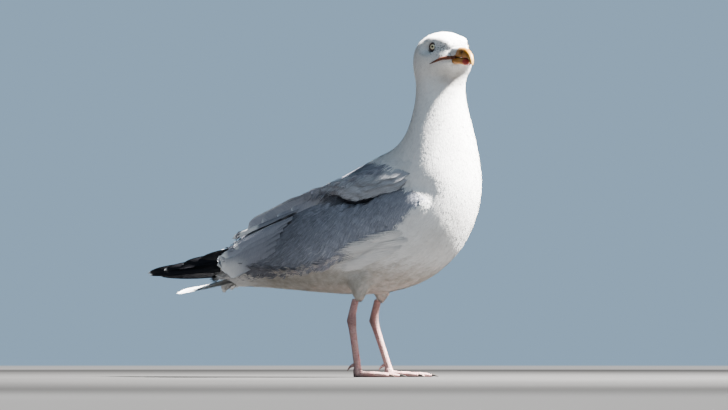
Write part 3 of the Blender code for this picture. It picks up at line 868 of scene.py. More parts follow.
# The lid's painted shade, near black.
LID_SHADE, LID_SHADE_BROWN = colour(0.008, 0.007, 0.008), colour(0.035, 0.024, 0.022)
LID_RED = colour(0.30, 0.10, 0.04)
PUPIL_MM, IRIS_MM = 1.25, 3.25  # how far the pupil and the iris reach from the middle of the gaze
SCALES = 620.0  # how many leg scales to a metre


def build_plumage(n):
    """Feather colours from the marks, streaked along the barbs, with pale edges, odd locks and painted shade
    towards each root.
    """
    grey, black, dirt_and_shade = n.attribute("marks")
    along, across, odd = n.attribute("vane")
    along_mm, across_mm, own = n.attribute("barb")
    off = n.maths("ABSOLUTE", across_mm)
    barb = n.maths("SUBTRACT", along_mm, n.maths("MULTIPLY", off, 0.8))
    seed = n.maths("MULTIPLY_ADD", odd, 90.0, n.maths("MULTIPLY", own, 17.0))
    streak = n.noise(n.vector(barb, n.maths("MULTIPLY", off, 0.16), seed), 0.9, 4.0, 0.6)
    streak = n.maths("SUBTRACT", streak, 0.5)
    place = n.place()
    patchy = n.maths("SUBTRACT", n.noise(place, 38.0, 3.0), 0.5)
    tint = n.mixed(grey, WHITE, GREY)
    edge = n.maths("MAXIMUM", n.ramp(n.maths("ABSOLUTE", across), 0.72, 1.0), n.ramp(along, 0.86, 1.0))
    edge = n.maths("MULTIPLY", n.maths("MULTIPLY", edge, grey), 0.42)
    tint = n.mixed(edge, tint, GREY_EDGE)
    # The black share also carries painted shade: in the hollow, over the rump and in single flecks between
    # eye and bill.
    tint = n.mixed(black, tint, BLACK)
    # Dirt and painted shade, mottled.
    dirt_and_shade_share = n.maths("MULTIPLY", dirt_and_shade, n.ramp(n.noise(place, 120.0, 3.0, 0.6), 0.30, 0.70, 0.72, 1.0))
    tint = n.mixed(dirt_and_shade_share, tint, DIRT_AND_SHADE)
    swing = n.maths("MULTIPLY_ADD", grey, 0.30, 0.05)
    value = n.maths("MULTIPLY", n.maths("SUBTRACT", own, 0.5), swing)
    value = n.maths("MULTIPLY_ADD", n.maths("SUBTRACT", odd, 0.5), n.maths("MULTIPLY", swing, 0.6), value)
    value = n.maths("MULTIPLY_ADD", streak, n.maths("MULTIPLY_ADD", grey, 0.55, 0.16), value)
    value = n.maths("MULTIPLY_ADD", patchy, 0.16, value)
    # Painted shade: darker towards each feather's root, under the feathers that lie over it; the bare skin
    # takes the darkest.
    value = n.maths("ADD", value, n.ramp(along, 0.0, 0.8, 0.80, 1.02))
    value = n.maths("MAXIMUM", value, 0.2)
    lit = n.add("VectorMath", {0: tint, "Scale": value}, operation="SCALE")
    rough = n.maths("MULTIPLY_ADD", black, -0.22, 0.74)
    rough = n.maths("MULTIPLY_ADD", streak, 0.25, rough)
    height = n.maths("MULTIPLY_ADD", streak, 1.0, n.maths("MULTIPLY", own, 0.25))
    return {"Color": lit.outputs[0], "Roughness": rough, "Height": height}


def build_leg(n):
    """Pink scaly skin: small plates with dark creases, paler and greyer by turns, and darker where shade is
    painted.
    """
    place = n.place()
    plates = n.add("TexVoronoi", {"Vector": place, "Scale": SCALES}, feature="DISTANCE_TO_EDGE")
    crease = n.ramp(plates.outputs["Distance"], 0.02, 0.16)
    cells = n.add("TexVoronoi", {"Vector": place, "Scale": SCALES}).outputs["Color"]
    step, _, shade_and_tone = n.attribute("scales")
    patchy = n.noise(place, 70.0, 4.0, 0.6)
    tint = n.mixed(n.ramp(patchy, 0.3, 0.7), PINK, PINK_PALE)
    tint = n.mixed(0.10, tint, cells, "SOFT_LIGHT")
    # Painted shade up the shank and on its rear side, with darker tone at creases, heel and webs.
    tint = n.mixed(n.maths("MULTIPLY", shade_and_tone, 0.75), tint, LEG_SHADE_AND_TONE)
    dark = n.mixed(1.0, tint, LEG_CREASE, "MULTIPLY")
    tint = n.mixed(n.maths("MULTIPLY", crease, n.ramp(step, 0.0, 0.35)), dark, tint)
    rough = n.maths("MULTIPLY_ADD", patchy, 0.25, 0.38)
    height = n.maths("ADD", crease, n.maths("MULTIPLY", patchy, 0.3))
    return {"Color": tint, "Roughness": rough, "Height": height}


def build_horn(n):
    """Bill horn: ochre yellow, paler at edges and tip, with the red spot and dark lines by place; on the
    bill the dark lines are painted shade.
    """
    tip, spot_share, line = n.attribute("horn")
    place = n.place()
    cloudy = n.noise(place, 160.0, 5.0, 0.6)
    fine = n.noise(place, 900.0, 3.0, 0.6)
    tint = n.mixed(n.ramp(cloudy, 0.3, 0.7), OCHRE, YELLOW)
    tint = n.mixed(n.maths("MULTIPLY", tip, 0.85), tint, HORN_TIP)
    tint = n.mixed(spot_share, tint, HORN_RED)
    tint = n.mixed(n.maths("MULTIPLY", line, 0.93), tint, HORN_DARK)
    tint = n.mixed(0.25, tint, n.mixed(n.ramp(fine, 0.35, 0.65), DIM, BRIGHT), "SOFT_LIGHT")
    rough = n.maths("MULTIPLY_ADD", line, 0.35, n.maths("MULTIPLY_ADD", cloudy, 0.3, 0.30))
    height = n.maths("MULTIPLY_ADD", fine, 0.5, n.maths("MULTIPLY", cloudy, 0.5))
    return {"Color": tint, "Roughness": rough, "Height": height}


def build_claw(n):
    """Claw horn: near black with brown clouds."""
    place = n.place()
    cloudy = n.noise(place, 300.0, 4.0, 0.6)
    fine = n.noise(place, 1800.0, 2.0, 0.5)
    tint = n.mixed(n.ramp(cloudy, 0.35, 0.7), CLAW_DARK, CLAW_BROWN)
    return {"Color": tint, "Roughness": n.maths("MULTIPLY_ADD", fine, 0.3, 0.25), "Height": cloudy}


def build_eye(n):
    """Iris, pupil and rim by their distance from the middle of the gaze, in mm."""
    off, turn, _ = n.attribute("gaze")
    fibres = n.noise(n.vector(n.maths("MULTIPLY", turn, 14.0), off, 0.0), 1.6, 4.0, 0.65)
    tint = n.mixed(n.ramp(fibres, 0.3, 0.7), IRIS, IRIS_PALE)
    tint = n.mixed(n.ramp(off, PUPIL_MM + 0.05, PUPIL_MM + 0.8), IRIS_INNER, tint)
    tint = n.mixed(n.ramp(off, PUPIL_MM - 0.1, PUPIL_MM + 0.12), PUPIL, tint)
    tint = n.mixed(n.ramp(off, IRIS_MM - 0.35, IRIS_MM + 0.05), tint, IRIS_RIM)
    return {"Color": tint, "Roughness": n.maths("MULTIPLY_ADD", fibres, 0.06, 0.05), "Height": fibres}


def build_lid(n):
    """Bare lid in painted shade, near black, a little red on its rim."""
    fine = n.noise(n.place(), 1500.0, 3.0, 0.6)
    rim, _, _ = n.attribute("horn")
    tint = n.mixed(n.ramp(fine, 0.3, 0.7), LID_SHADE, LID_SHADE_BROWN)
    tint = n.mixed(n.maths("MULTIPLY", rim, 0.25), tint, LID_RED)
    return {"Color": tint, "Roughness": n.maths("MULTIPLY_ADD", fine, 0.3, 0.4), "Height": fine}


def material_of(name, group, bump, deep, **constants):
    """A material whose colour, roughness and height come from one group of nodes."""
    made = bpy.data.materials.new(name)
    made.use_nodes = True
    tree = made.node_tree
    shader = tree.nodes["Principled BSDF"]
    look = tree.nodes.new("ShaderNodeGroup")
    look.node_tree = group
    tree.links.new(look.outputs["Color"], shader.inputs["Base Color"])
    tree.links.new(look.outputs["Roughness"], shader.inputs["Roughness"])
    dent = tree.nodes.new("ShaderNodeBump")
    dent.inputs["Strength"].default_value = bump
    dent.inputs["Distance"].default_value = deep
    tree.links.new(look.outputs["Height"], dent.inputs["Height"])
    tree.links.new(dent.outputs["Normal"], shader.inputs["Normal"])
    for key, value in constants.items():
        shader.inputs[key.replace("_", " ")].default_value = value
    return made


plumage = make_group("plumage", build_plumage)
leg_scales = make_group("leg_scales", build_leg)
bill_horn = make_group("bill_horn", build_horn)
claw_horn = make_group("claw_horn", build_claw)
eye_ball = make_group("eye_ball", build_eye)
eye_lid = make_group("eye_lid", build_lid)
feather_look = material_of("feathers", plumage, 0.35, 0.3 * MM, Specular_IOR_Level=0.25)
flight_look = material_of("flight_feathers", plumage, 0.5, 0.3 * MM, Specular_IOR_Level=0.4)
leg_look = material_of("leg_skin", leg_scales, 0.5, 0.4 * MM, Specular_IOR_Level=0.4)
horn_look = material_of("bill_horn", bill_horn, 0.25, 0.2 * MM, Coat_Weight=0.08, Coat_Roughness=0.25)
claw_look = material_of("claw_horn", claw_horn, 0.3, 0.1 * MM, Coat_Weight=0.2, Coat_Roughness=0.3)
eye_look = material_of("eye_ball", eye_ball, 0.05, 0.05 * MM, Coat_Weight=1.0, Coat_Roughness=0.02)
lid_look = material_of("eye_lid", eye_lid, 0.4, 0.15 * MM)

# ---------------------------------------------------------------- skin's own look

skin.data.materials.append(feather_look)
put_vector(skin, "marks", marks_at(skin_points))
put_map(skin, own_map(skin_points))
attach(skin, "root")
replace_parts(skin, *FLESH)


# ---------------------------------------------------------------- body coat

EYE_HOLE_X, EYE_HOLE_MM, MOST_TRIANGLES = 3.6, 6.4, 200000


def bare(points):
    """Where no feather grows: the eyes' openings and inside the bill's base."""
    x, out, z = folded(head_mm(points)).T
    eye = (np.hypot(x - EYE_HOLE_X, z - EYE_UP / MM) < EYE_HOLE_MM) & (out > 12)
    return eye | (x > 21.5) & (out < 6.8) & (z < -2) & (z > -23)


def grow(name, wanted, rows, share, blades, stations, tries, steps=4, wide=0.42, rise_by=1.0,
         fray=0.12, splay=0.14, lean=0.10, curl=0.0):
    """A coat piece over the faces that are wanted, its feathers spaced by a share of their length."""
    roots = scattered(skin_surface, wanted.astype(float), lambda p: lie_at(p, rows)[1] * share, tries)
    roots = roots[~bare(roots)]
    ways, lengths, rises = lie_at(roots, rows)
    lengths = lengths * RANDOM.normal(1, 0.07, len(roots))
    ways = unit(ways + RANDOM.normal(0, 0.05, ways.shape))
    line, normals = laid(skin_surface, roots, ways, lengths, steps)
    made = fans(line, normals, lengths * wide, rises * rise_by, blades, stations, fray, curl, splay, lean)
    marks = marks_at(roots)
    if name == "coat_head":
        marks = shadow_flecks(roots, marks)
    feather_piece(name, made, marks, own_map(roots), lengths, lengths * wide, feather_look)
    print(name, len(roots), "feathers", len(made["faces"]), "triangles", flush=True)
    if len(made["faces"]) > MOST_TRIANGLES:
        raise ValueError(f"{name} has too many triangles")


LORES = ((13, 14, -2), 10.0, 0.42)  # place in head space, reach in mm, share of feathers with a painted shadow fleck
FLECK_SHADE = (0.35, 0.9)  # how dark those painted shadow flecks are


def shadow_flecks(roots, marks):
    """Painted shadow on single feathers between eye and bill, as where feathers are ruffled."""
    place, reach, share = LORES
    gap = np.linalg.norm((folded(head_mm(roots)) - place) / [1.2, 1, 0.8], axis=1)
    dark = RANDOM.random(len(roots)) < share * bell(gap, reach)
    marks = marks.copy()
    marks[:, 1] = np.where(dark, RANDOM.uniform(*FLECK_SHADE, len(roots)), marks[:, 1])
    return marks


REAR_END_MM = -226  # no feathers grow on the skin behind this: the tail and the wings' tips start there
RUMP_END_MM, RUMP_TOP_MM = -190, 150  # nor on the rump behind this and above this height
WING_END_MM = -206  # nor on the wings behind this, where the long inner feathers lie
NECK_LOW_MM, NECK_REAR_MM, BACK_FRONT_MM, BREAST_REAR_MM = 275, 20, 70, 25  # where the zones meet


def coat_zones():
    """Which faces of the skin each zone of the coat grows on."""
    centres = skin_points[skin_faces].mean(axis=1)
    x, _, z = bird_mm(centres).T
    head_x, _, head_z = head_mm(centres).T
    wing = in_wing(centres) > 0.5
    head = (head_z > -36 - 0.25 * (head_x + 20)) & (head_x > -62)
    body = ~wing & ~head & (x > REAR_END_MM) & ((x > RUMP_END_MM) | (z < RUMP_TOP_MM))
    neck = body & (centres[:, 2] > NECK_LOW_MM * MM) & (x > NECK_REAR_MM)
    mantle = body & ~neck & (z > 226 - 0.2 * (60 - x)) & (x < BACK_FRONT_MM)
    breast = body & ~neck & ~mantle & (x > BREAST_REAR_MM)
    belly = body & ~neck & ~mantle & ~breast
    return head, neck, breast, belly, mantle, wing & (x > WING_END_MM)


head_zone, neck_zone, breast_zone, belly_zone, mantle_zone, wing_zone = coat_zones()
grow("coat_head", head_zone, BODY_ROWS, 0.36, 5, 3, 26000, 2, 0.36, fray=0.1)
grow("coat_neck", neck_zone, BODY_ROWS, 0.28, 7, 4, 30000, 3, 0.36, 0.5, fray=0.1, curl=-0.5)
grow("coat_breast", breast_zone, BODY_ROWS, 0.26, 9, 4, 24000, rise_by=0.5, curl=-0.5)
grow("coat_belly", belly_zone, BODY_ROWS, 0.27, 9, 4, 24000, rise_by=0.8, fray=0.14)
grow("coat_mantle", mantle_zone, BODY_ROWS, 0.28, 9, 4, 18000, rise_by=0.8, lean=0.25)
grow("coat_wings", wing_zone, WING_ROWS, 0.30, 9, 4, 30000, fray=0.14, splay=0.25, lean=0.30)


# ---------------------------------------------------------------- loose tufts

def tufts(name, roots, way, length, half_width, rise, side, blades, curl):
    """A few long loose white feathers from named roots on one side, laid over what lies behind them."""
    roots = np.array([spot(*root, side) for root in roots])
    roots = roots + RANDOM.normal(0, 1.2 * MM, roots.shape)
    count = len(roots)
    ways = unit(np.array(way) * [1, side, 1] + RANDOM.normal(0, 0.05, (count, 3)))
    lengths = length * MM * RANDOM.normal(1, 0.08, count)
    line, normals = laid(skin_surface, roots, ways, lengths, 5)
    widths = np.full(count, half_width * MM)
    made = fans(line, normals, widths, np.full(count, rise * MM), blades, 5, 0.14, curl)
    feather_piece(name, made, np.zeros((count, 3)), own_map(roots), lengths, widths, feather_look)


def row_of(*rows):
    """Places along several straight rows, each given as start, end and number of places."""
    return [
        tuple(np.array(a) + (np.array(b) - np.array(a)) * k / max(n - 1, 1))
        for a, b, n in rows for k in range(n)
    ]


FLANK_ROOTS = row_of(
    ((66, 60, 178), (12, 62, 150), 9), ((70, 60, 170), (14, 62, 142), 9), ((60, 60, 160), (8, 60, 136), 8),
    ((44, 62, 166), (16, 63, 160), 5),
)
LOW_TUFT_ROOTS = row_of(((0, 60, 134), (6, 58, 131), 3), ((-6, 60, 135), (0, 60, 132), 3))
for side_name, side in SIDES.items():
    tufts(f"flank_tuft_{side_name}", FLANK_ROOTS, (-1, 0.12, -0.08), 42, 7, 8.5, side, 13, -0.4)
    tufts(f"low_tuft_{side_name}", LOW_TUFT_ROOTS, (-1, 0.1, -0.02), 33, 4.5, 5.5, side, 9, 0.0)


# ---------------------------------------------------------------- vanes of wing and tail

STRUNG_STATIONS, TRACK_MM = 20, 7.0
BESIDE_MM = 40  # any distance out will do for a place that is moved to a surface


def strung(surface, rows, side, off):
    """Centre lines and normals of feathers between named roots and tips on one side of the bird.

    Each row is root x, z, tip x, z; off is how far each feather lies outside the surface, in mm.
    """
    lines, normals = [], []
    share = np.linspace(0, 1, STRUNG_STATIONS)
    for row, out in zip(rows, off):
        root, tip = np.array(row[:2]), np.array(row[2:4])
        flat = root + (tip - root) * share[:, None]
        along = (tip - root) / np.linalg.norm(tip - root)
        across = np.array([-along[1], along[0]])
        tracks = []
        for shift in (-TRACK_MM, 0, TRACK_MM):
            places = np.array([spot(x, BESIDE_MM, z, side) for x, z in flat + across * shift])
            found = surface.outside(places, side)
            curve = np.polyfit(share, found[:, 1], 2)
            found[:, 1] = np.polyval(curve, share)
            tracks.append(found)
        tangent = unit(np.gradient(tracks[1], axis=0))
        normal = unit(np.cross(tangent, tracks[2] - tracks[0]))
        normal *= np.sign(normal[:, 1:2] * side)
        lines.append(tracks[1] + normal * out * MM)
        normals.append(normal)
    return np.array(lines), np.array(normals)


def outline(full=0.45, end=0.86, root=0.4):
    """A vane's outline: widening from the root, then even, with a round end."""
    def profile(share, side):
        rise = root + (1 - root) * smooth(0, full, share)
        tip = np.sqrt(np.clip(1 - ((share - end) / (1 - end)).clip(0, 1) ** 2, 0, 1))
        return np.maximum(rise * np.where(share > end, tip, 1), 0.02)
    return profile


def pointed(share, side):
    """A flight feather's outline, narrower on its leading side and pointed at its tip."""
    taper = np.clip(1 - np.clip((share - 0.45) / 0.55, 0, 1) ** 1.9, 0, 1) ** 0.62
    return np.maximum((0.55 if side > 0 else 1.0) * taper, 0.02)


def vane_piece(name, made, marks, lengths, widths):
    """A piece of large feathers, each with a cell of its own on the map."""
    count = len(lengths)
    columns = math.ceil(math.sqrt(count))
    tall = math.ceil(count / columns)
    cell = np.array([0.96 / columns, 0.96 / tall])
    uv = np.array([
        (MAP_MARGIN + cell[0] * (i % columns), MAP_MARGIN + cell[1] * (i // columns)) for i in range(count)
    ])
    obj = feather_piece(name, made, marks, uv, lengths, widths, flight_look, cell * 0.94)
    return obj


# root x, z, tip x, z, half width, lift off the wing, white at the tip: all in mm
TERTIALS = [
    (-128, 163, -206, 133, 10, 0.5, 8),
    (-126, 171, -215, 138, 10, 1.0, 10),
    (-122, 180, -221, 143, 10, 1.5, 11),
    (-118, 188, -222, 149, 9.5, 2.0, 10),
    (-112, 195, -214, 154.5, 9, 2.5, 7),
    (-104, 201, -196, 164.5, 8, 3.0, 5),
    (-98, 211, -205, 178, 4.5, 3.0, 45),
]
SCAPULARS = [
    (-50, 240, -112, 212, 12, 3.0, 1.5),
    (-62, 237, -135, 204, 12, 2.2, 1.5),
    (-78, 232, -160, 197, 12, 3.4, 2),
    (-90, 226, -182, 190, 11, 4.6, 3),
]
PRIMARIES = [
    (-218, 139, -334, 131.4, 8, 0.6, 1.0),
    (-218, 147, -336.5, 134.5, 8.5, 1.4, 1.4),
    (-200, 151, -309, 138, 9, 2.2, 3.2),
    (-190, 155, -282, 144, 9.5, 3.0, 3.6),
    (-180, 158, -257, 149, 9.5, 3.8, 3.4),
    (-170, 160, -237, 151.5, 9.5, 4.5, 3.0),
]


WING_EDGE_WHITE, TIP_SOFT_MM, TIP_ROUND_MM = 0.35, 0.8, 2.0


def wing_vanes(name, rows, surface, side, black, profile):
    """Long wing feathers, grey or black, with white tips and, on the grey ones, pale edges."""
    table = np.array(rows, float)
    line, normals = strung(surface, table[:, :4], side, table[:, 5])
    widths, tip_mm = table[:, 4] * MM, table[:, 6]
    lengths = np.linalg.norm(line[:, -1] - line[:, 0], axis=1)
    made = vanes(line, normals, widths, np.full(len(rows), 0.7 * MM), profile, 0.35 * MM, 0.2, 0.02)
    which, off = made["feather"], np.abs(made["across"])
    from_tip = (1 - made["along"]) * lengths[which] / MM
    white = smooth(TIP_SOFT_MM, -TIP_SOFT_MM, from_tip - tip_mm[which] - TIP_ROUND_MM * off)
    white = np.maximum(white, smooth(0.80, 0.97, off) * WING_EDGE_WHITE * (1 - black))
    grey = (1 - black) * (1 - white) * marks_at(made["points"])[:, 0]
    marks = np.stack([grey, black * (1 - white), np.zeros(len(which))], axis=1)
    return vane_piece(name, made, marks, lengths, widths)


for side_name, side in SIDES.items():
    wing = wing_surface[side]
    tip_surface = Surface(NODES[f"wing_tip_{side_name}"].data)
    wing_vanes(f"tertials_{side_name}", TERTIALS, wing, side, 0.0, outline())
    wing_vanes(f"scapulars_{side_name}", SCAPULARS, wing, side, 0.0, outline(0.5, 0.8))
    tips = wing_vanes(f"primaries_{side_name}", PRIMARIES, tip_surface, side, 1.0, pointed)
    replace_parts(tips, f"wing_tip_{side_name}")


# Lower edge of the shoulder feathers, front to rear: x, z and how far the edge stands off the wing.
SHOULDER_EDGE = [
    (66, 243, 2), (50, 240, 4), (36, 236.5, 6), (20, 232.5, 7.5), (2, 229, 8), (-16, 226, 8), (-30, 230, 7),
    (-46, 235, 6), (-66, 236, 5), (-96, 226, 3),
]
# Rows of shoulder feathers: how far up, first and last tip's x, number, length and half width in mm,
# how much farther out, how much the way they point drops.
SHOULDER_ROWS = [
    (0, 46, -62, 26, 25, 6.5, 0.0, 0.40),
    (7, 47, -46, 24, 25, 6.5, -0.5, 0.38),
    (14, 40, -8, 13, 24, 6.5, -2.0, 0.38),
]
SHOULDER_GREY_LIT = 0.70  # painted light: these feathers are made paler than the wing, as if in sunlight


def shoulder_row(name, side, up, first, last, count, length, spread, out_more, drop):
    """A row of soft feathers whose tips hang over the wing, up above the lower edge."""
    edge = np.array(SHOULDER_EDGE, float)[::-1].T
    x = np.linspace(first, last, count) + RANDOM.normal(0, 0.5, count)
    z = np.interp(x, edge[0], edge[1]) + up + RANDOM.normal(0, 0.7, count)
    off = np.interp(x, edge[0], edge[2]) + out_more + RANDOM.normal(0, 0.3, count)
    lengths = length * RANDOM.normal(1, 0.06, count) * MM
    ways = unit(np.stack([-np.ones(count), np.zeros(count), -drop - RANDOM.normal(0, 0.04, count)], axis=1))
    tip = np.array([spot(a, BESIDE_MM, b, side) for a, b in zip(x, z)])
    wing = wing_surface[side].outside(tip, side)
    root, up_there = skin_surface.nearest(wing - ways * lengths[:, None])
    tip = wing + np.array([0, side, 0]) * off[:, None] * MM
    share = np.linspace(0, 1, 6)[None, :, None]
    middle = (root + tip) / 2 + unit(up_there + [0, side * 0.8, 0]) * lengths[:, None] * 0.12
    line = root[:, None] * (1 - share) ** 2 + 2 * middle[:, None] * share * (1 - share)
    line = line + tip[:, None] * share**2
    outward = unit(np.array([0, side, 0.5 + 0.03 * up]) + up_there * 0.5)
    tangent = unit(np.gradient(line, axis=1))
    normals = unit(outward[:, None] - tangent * (outward[:, None] * tangent).sum(-1, keepdims=True))
    widths = np.full(count, spread * MM)
    made = fans(line, normals, widths, np.full(count, 1.2 * MM), 11, 5, 0.10, splay=0.25, lean=0.25)
    marks = marks_at(root * 0.4 + tip * 0.6)
    # Paler as painted light.
    marks[:, 0] *= SHOULDER_GREY_LIT
    marks[:, 1:] = 0
    feather_piece(name, made, marks, own_map(root), lengths, widths, feather_look)


for side_name, side in SIDES.items():
    for k, row in enumerate(SHOULDER_ROWS):
        shoulder_row(f"shoulder_row_{k}_{side_name}", side, *row)


TAIL_FEATHERS, TAIL_ROLL = 12, math.tan(math.radians(9))
TAIL_COVERTS, COVERT_ROWS = 7, ((6.0, 36), (3.5, 25))  # how many, and each row's lift and end in mm


def make_tail():
    """Tail feathers in a shut fan, the middle pair on top, with short ones over their roots."""
    low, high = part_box("tail")
    share = np.linspace(0, 1, 12)
    lines, widths = [], []

    def add(across, root_x, tip_x, root_y, tip_y, half_width, lift):
        x = root_x + (tip_x - root_x) * share
        y = (across * (root_y + (tip_y - root_y) * share)) * MM
        down = (x - low[0]) / (high[0] - low[0])
        z = (113.6 + 10.2 * down - 2 * across**2 * share + lift * (1 - share * 0.85)) * MM + TAIL_ROLL * y
        lines.append(np.stack([x, MIDDLE_Y + y, z], axis=1))
        widths.append(half_width * MM)

    for k in range(TAIL_FEATHERS):
        across = (k + 0.5) / TAIL_FEATHERS * 2 - 1
        tip_x = low[0] + (3 * across**2 + 1) * MM
        add(across, low[0] + 84 * MM, tip_x, 9, 31, 9.5, 1.2 - 2.4 * abs(across))
    for lift, reach in COVERT_ROWS:
        for k in range(TAIL_COVERTS):
            across = (k + 0.5) / TAIL_COVERTS * 2 - 1
            tip_x = low[0] + (reach + 5 * across**2) * MM
            add(across, low[0] + 80 * MM, tip_x, 12, 23, 7.2, lift)
    line, widths = np.array(lines), np.array(widths)
    normals = np.broadcast_to(unit([0, -TAIL_ROLL, 1]), line.shape)
    lengths = np.linalg.norm(line[:, -1] - line[:, 0], axis=1)
    made = vanes(line, normals, widths, np.zeros(len(line)), outline(0.4, 0.90), 0.45 * MM, 0.12, 0.05)
    marks = np.zeros((len(made["points"]), 3))
    tail = vane_piece("tail_feathers", made, marks, lengths, widths)
    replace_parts(tail, "tail")


make_tail()


# ---------------------------------------------------------------- bill

# In head space: forward, top, bottom, half width, in mm.
UPPER_BILL = [
    (20, -1.4, -14.2, 7.8), (30, -1.6, -14.0, 7.1), (40, -1.8, -14.2, 6.2), (50, -2.6, -14.6, 5.4),
    (58, -4.3, -15.2, 4.8), (64.5, -7.3, -16.4, 4.1), (69.8, -11.5, -18.8, 3.2), (72.8, -16.7, -22.6, 2.2),
    (74.0, -21.9, -25.4, 0.9),
]
LOWER_BILL = [
    (22, -14.6, -23.0, 6.9), (32, -14.4, -23.0, 6.2), (42, -14.6, -23.3, 5.4), (52, -15.0, -24.6, 4.7),
    (58, -15.7, -25.6, 4.2), (64, -16.9, -24.2, 3.3), (69.3, -19.1, -21.6, 1.6),
]
NOSTRIL = (50.5, -8.2, 4.6, 1.4)  # forward, height, half length, half height
NOSTRIL_SLOPE = 0.06
RED_SPOT = (60.5, -20.6, 8.0, 5.0)
BILL_AROUND, BILL_STEPS = 40, 8
OUTER_ROUND, INNER_ROUND = (1.15, 0.92), (0.45, 0.75)  # powers: the section outside, and at the gape


def along_rows(rows, t):
    """A smooth curve through the rows, at places counted in rows."""
    rows = np.asarray(rows, float)
    i = np.minimum(t.astype(int), len(rows) - 2)
    f = (t - i)[:, None]
    a, b = rows[i], rows[i + 1]
    before, after = rows[np.maximum(i - 1, 0)], rows[np.minimum(i + 2, len(rows) - 1)]
    return 0.5 * (
        2 * a + (b - before) * f + (2 * before - 5 * a + 4 * b - after) * f**2
        + (3 * a - before - 3 * b + after) * f**3
    )


def ring_faces(rings, around, shut=False):
    """Quads between rings of points, and from the last ring to the first where it is shut."""
    return np.array([
        (i * around + j, i * around + (j + 1) % around,
         (i + 1) % rings * around + (j + 1) % around, (i + 1) % rings * around + j)
        for i in range(rings if shut else rings - 1) for j in range(around)
    ])


def closed_mesh(name, points, quads, middle, material):
    """A mesh object whose faces are turned outwards, seen from its middle."""
    a, b, c = (points[quads[:, k]] - middle for k in range(3))
    volume = np.einsum("ij,ij->i", a, np.cross(b, c)).sum()
    return mesh_object(name, points, quads if volume > 0 else quads[:, ::-1], material)


def lofted(name, grid, material):
    """A closed loft through equal rings, its ends drawn in to a point each."""
    ends = [np.repeat(grid[i].mean(axis=0)[None], grid.shape[1], axis=0)[None] for i in (0, -1)]
    grid = np.concatenate([ends[0], grid, ends[1]])
    points = grid.reshape(-1, 3)
    return closed_mesh(name, points, ring_faces(*grid.shape[:2]), 0, material), points


def within(x, z, place):
    """How far a place on the bill's side lies from the middle of an oval, as a share squared."""
    forward, height, half_long, half_high = place
    return ((x - forward) / half_long) ** 2 + ((z - height) / half_high) ** 2


def nostril(x, z):
    return within(x, z - NOSTRIL_SLOPE * (x - NOSTRIL[0]), NOSTRIL)


def make_mandible(name, rows, upper):
    """One half of the bill, its ends drawn in, marked with its pale edges, red spot and dark lines of
    painted shade.
    """
    t = np.linspace(0, len(rows) - 1, (len(rows) - 1) * BILL_STEPS + 1)
    forward, top, bottom, half = along_rows(rows, t).T
    angle = np.linspace(0, 2 * math.pi, BILL_AROUND, endpoint=False)
    c, s = np.cos(angle), np.sin(angle)
    middle, tall = (top + bottom) / 2, (top - bottom) / 2
    full, broad = np.where((c > 0) == upper, *np.array([OUTER_ROUND, INNER_ROUND])[:, :, None])
    x = forward[:, None] + np.zeros_like(c)
    y = half[:, None] * (np.sign(s) * np.abs(s) ** broad)
    z = middle[:, None] + tall[:, None] * (np.sign(c) * np.abs(c) ** full)
    if upper:
        y *= 1 - 0.30 * smooth(1.5, 0.5, nostril(x, z))
        y *= 1 - 0.05 * (bell(z - NOSTRIL[1] + 0.4, 1.6) * smooth(54, 40, x))
    grid = np.stack([x, y, z], axis=-1)
    obj, _ = lofted(name, from_head(grid * MM), horn_look)
    x, y, z = np.concatenate([grid[:1], grid, grid[-1:]]).reshape(-1, 3).T
    edge_z = np.interp(x, forward, bottom if upper else top)
    if upper:
        # Painted shade: dark in the nostril, along the cutting edge and low at the base.
        line = np.maximum(smooth(1.2, 0.5, nostril(x, z)), smooth(1.0, 0.2, z - edge_z) * 0.55)
        line = np.maximum(line, 0.85 * smooth(35, 27, x) * smooth(-7, -11, z))
        tip = np.maximum(0.7 * smooth(64, 74, x), 0.3 * smooth(-7, -2, z) * smooth(34, 60, x))
    else:
        # Painted shade: dark along the cutting edge and high at the base.
        line = smooth(1.3, 0.2, edge_z - z) * 0.6
        line = np.maximum(line, 0.6 * smooth(32, 25, x) * smooth(-19, -15.5, z))
        tip = 0.5 * smooth(60, 69, x)
    red = smooth(1.25, 0.6, within(x, z, RED_SPOT))
    put_vector(obj, "horn", np.stack([tip, red * (0.45 if upper else 1.0), line], axis=1))
    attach(obj, "root")
    return obj


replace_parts(make_mandible("bill_upper", UPPER_BILL, True), "upper_bill")
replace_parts(make_mandible("bill_lower", LOWER_BILL, False), "lower_bill")


# How far the feathers reach over the upper bill, in head space: height and x.
BASE_EDGE = [(-16, 25), (-13, 31), (-9, 37), (-5, 40), (0, 40.5)]
BASE_FEATHER = (3.4 * MM, 0.34, 1.1 * MM, 0.95 * MM)  # length, half width as a share of it, rise, spacing


def cover_bill_base():
    """Short feathers that run forward over the base of the upper bill."""
    surface = Surface(bpy.data.objects["bill_upper"].data)
    x, _, z = head_mm(surface.points[surface.faces].mean(axis=1)).T
    wanted = (x < np.interp(z, *np.array(BASE_EDGE, float).T)) & (x > 20.5) & (z > -13.2)
    length, wide, rise, spacing = BASE_FEATHER
    roots = scattered(surface, wanted.astype(float), lambda p: np.full(len(p), spacing), 9000)
    count = len(roots)
    ways = unit(HEAD_AXES @ np.array([-1, 0, 0.25]) + RANDOM.normal(0, 0.07, (count, 3)))
    lengths = length * RANDOM.normal(1, 0.1, count)
    line, normals = laid(surface, roots, ways, lengths, 2)
    made = fans(line, normals, lengths * wide, np.full(count, rise), 5, 3)
    marks = shadow_flecks(roots, marks_at(roots))
    feather_piece("coat_bill_base", made, marks, own_map(roots), lengths, lengths * wide, feather_look)


cover_bill_base()


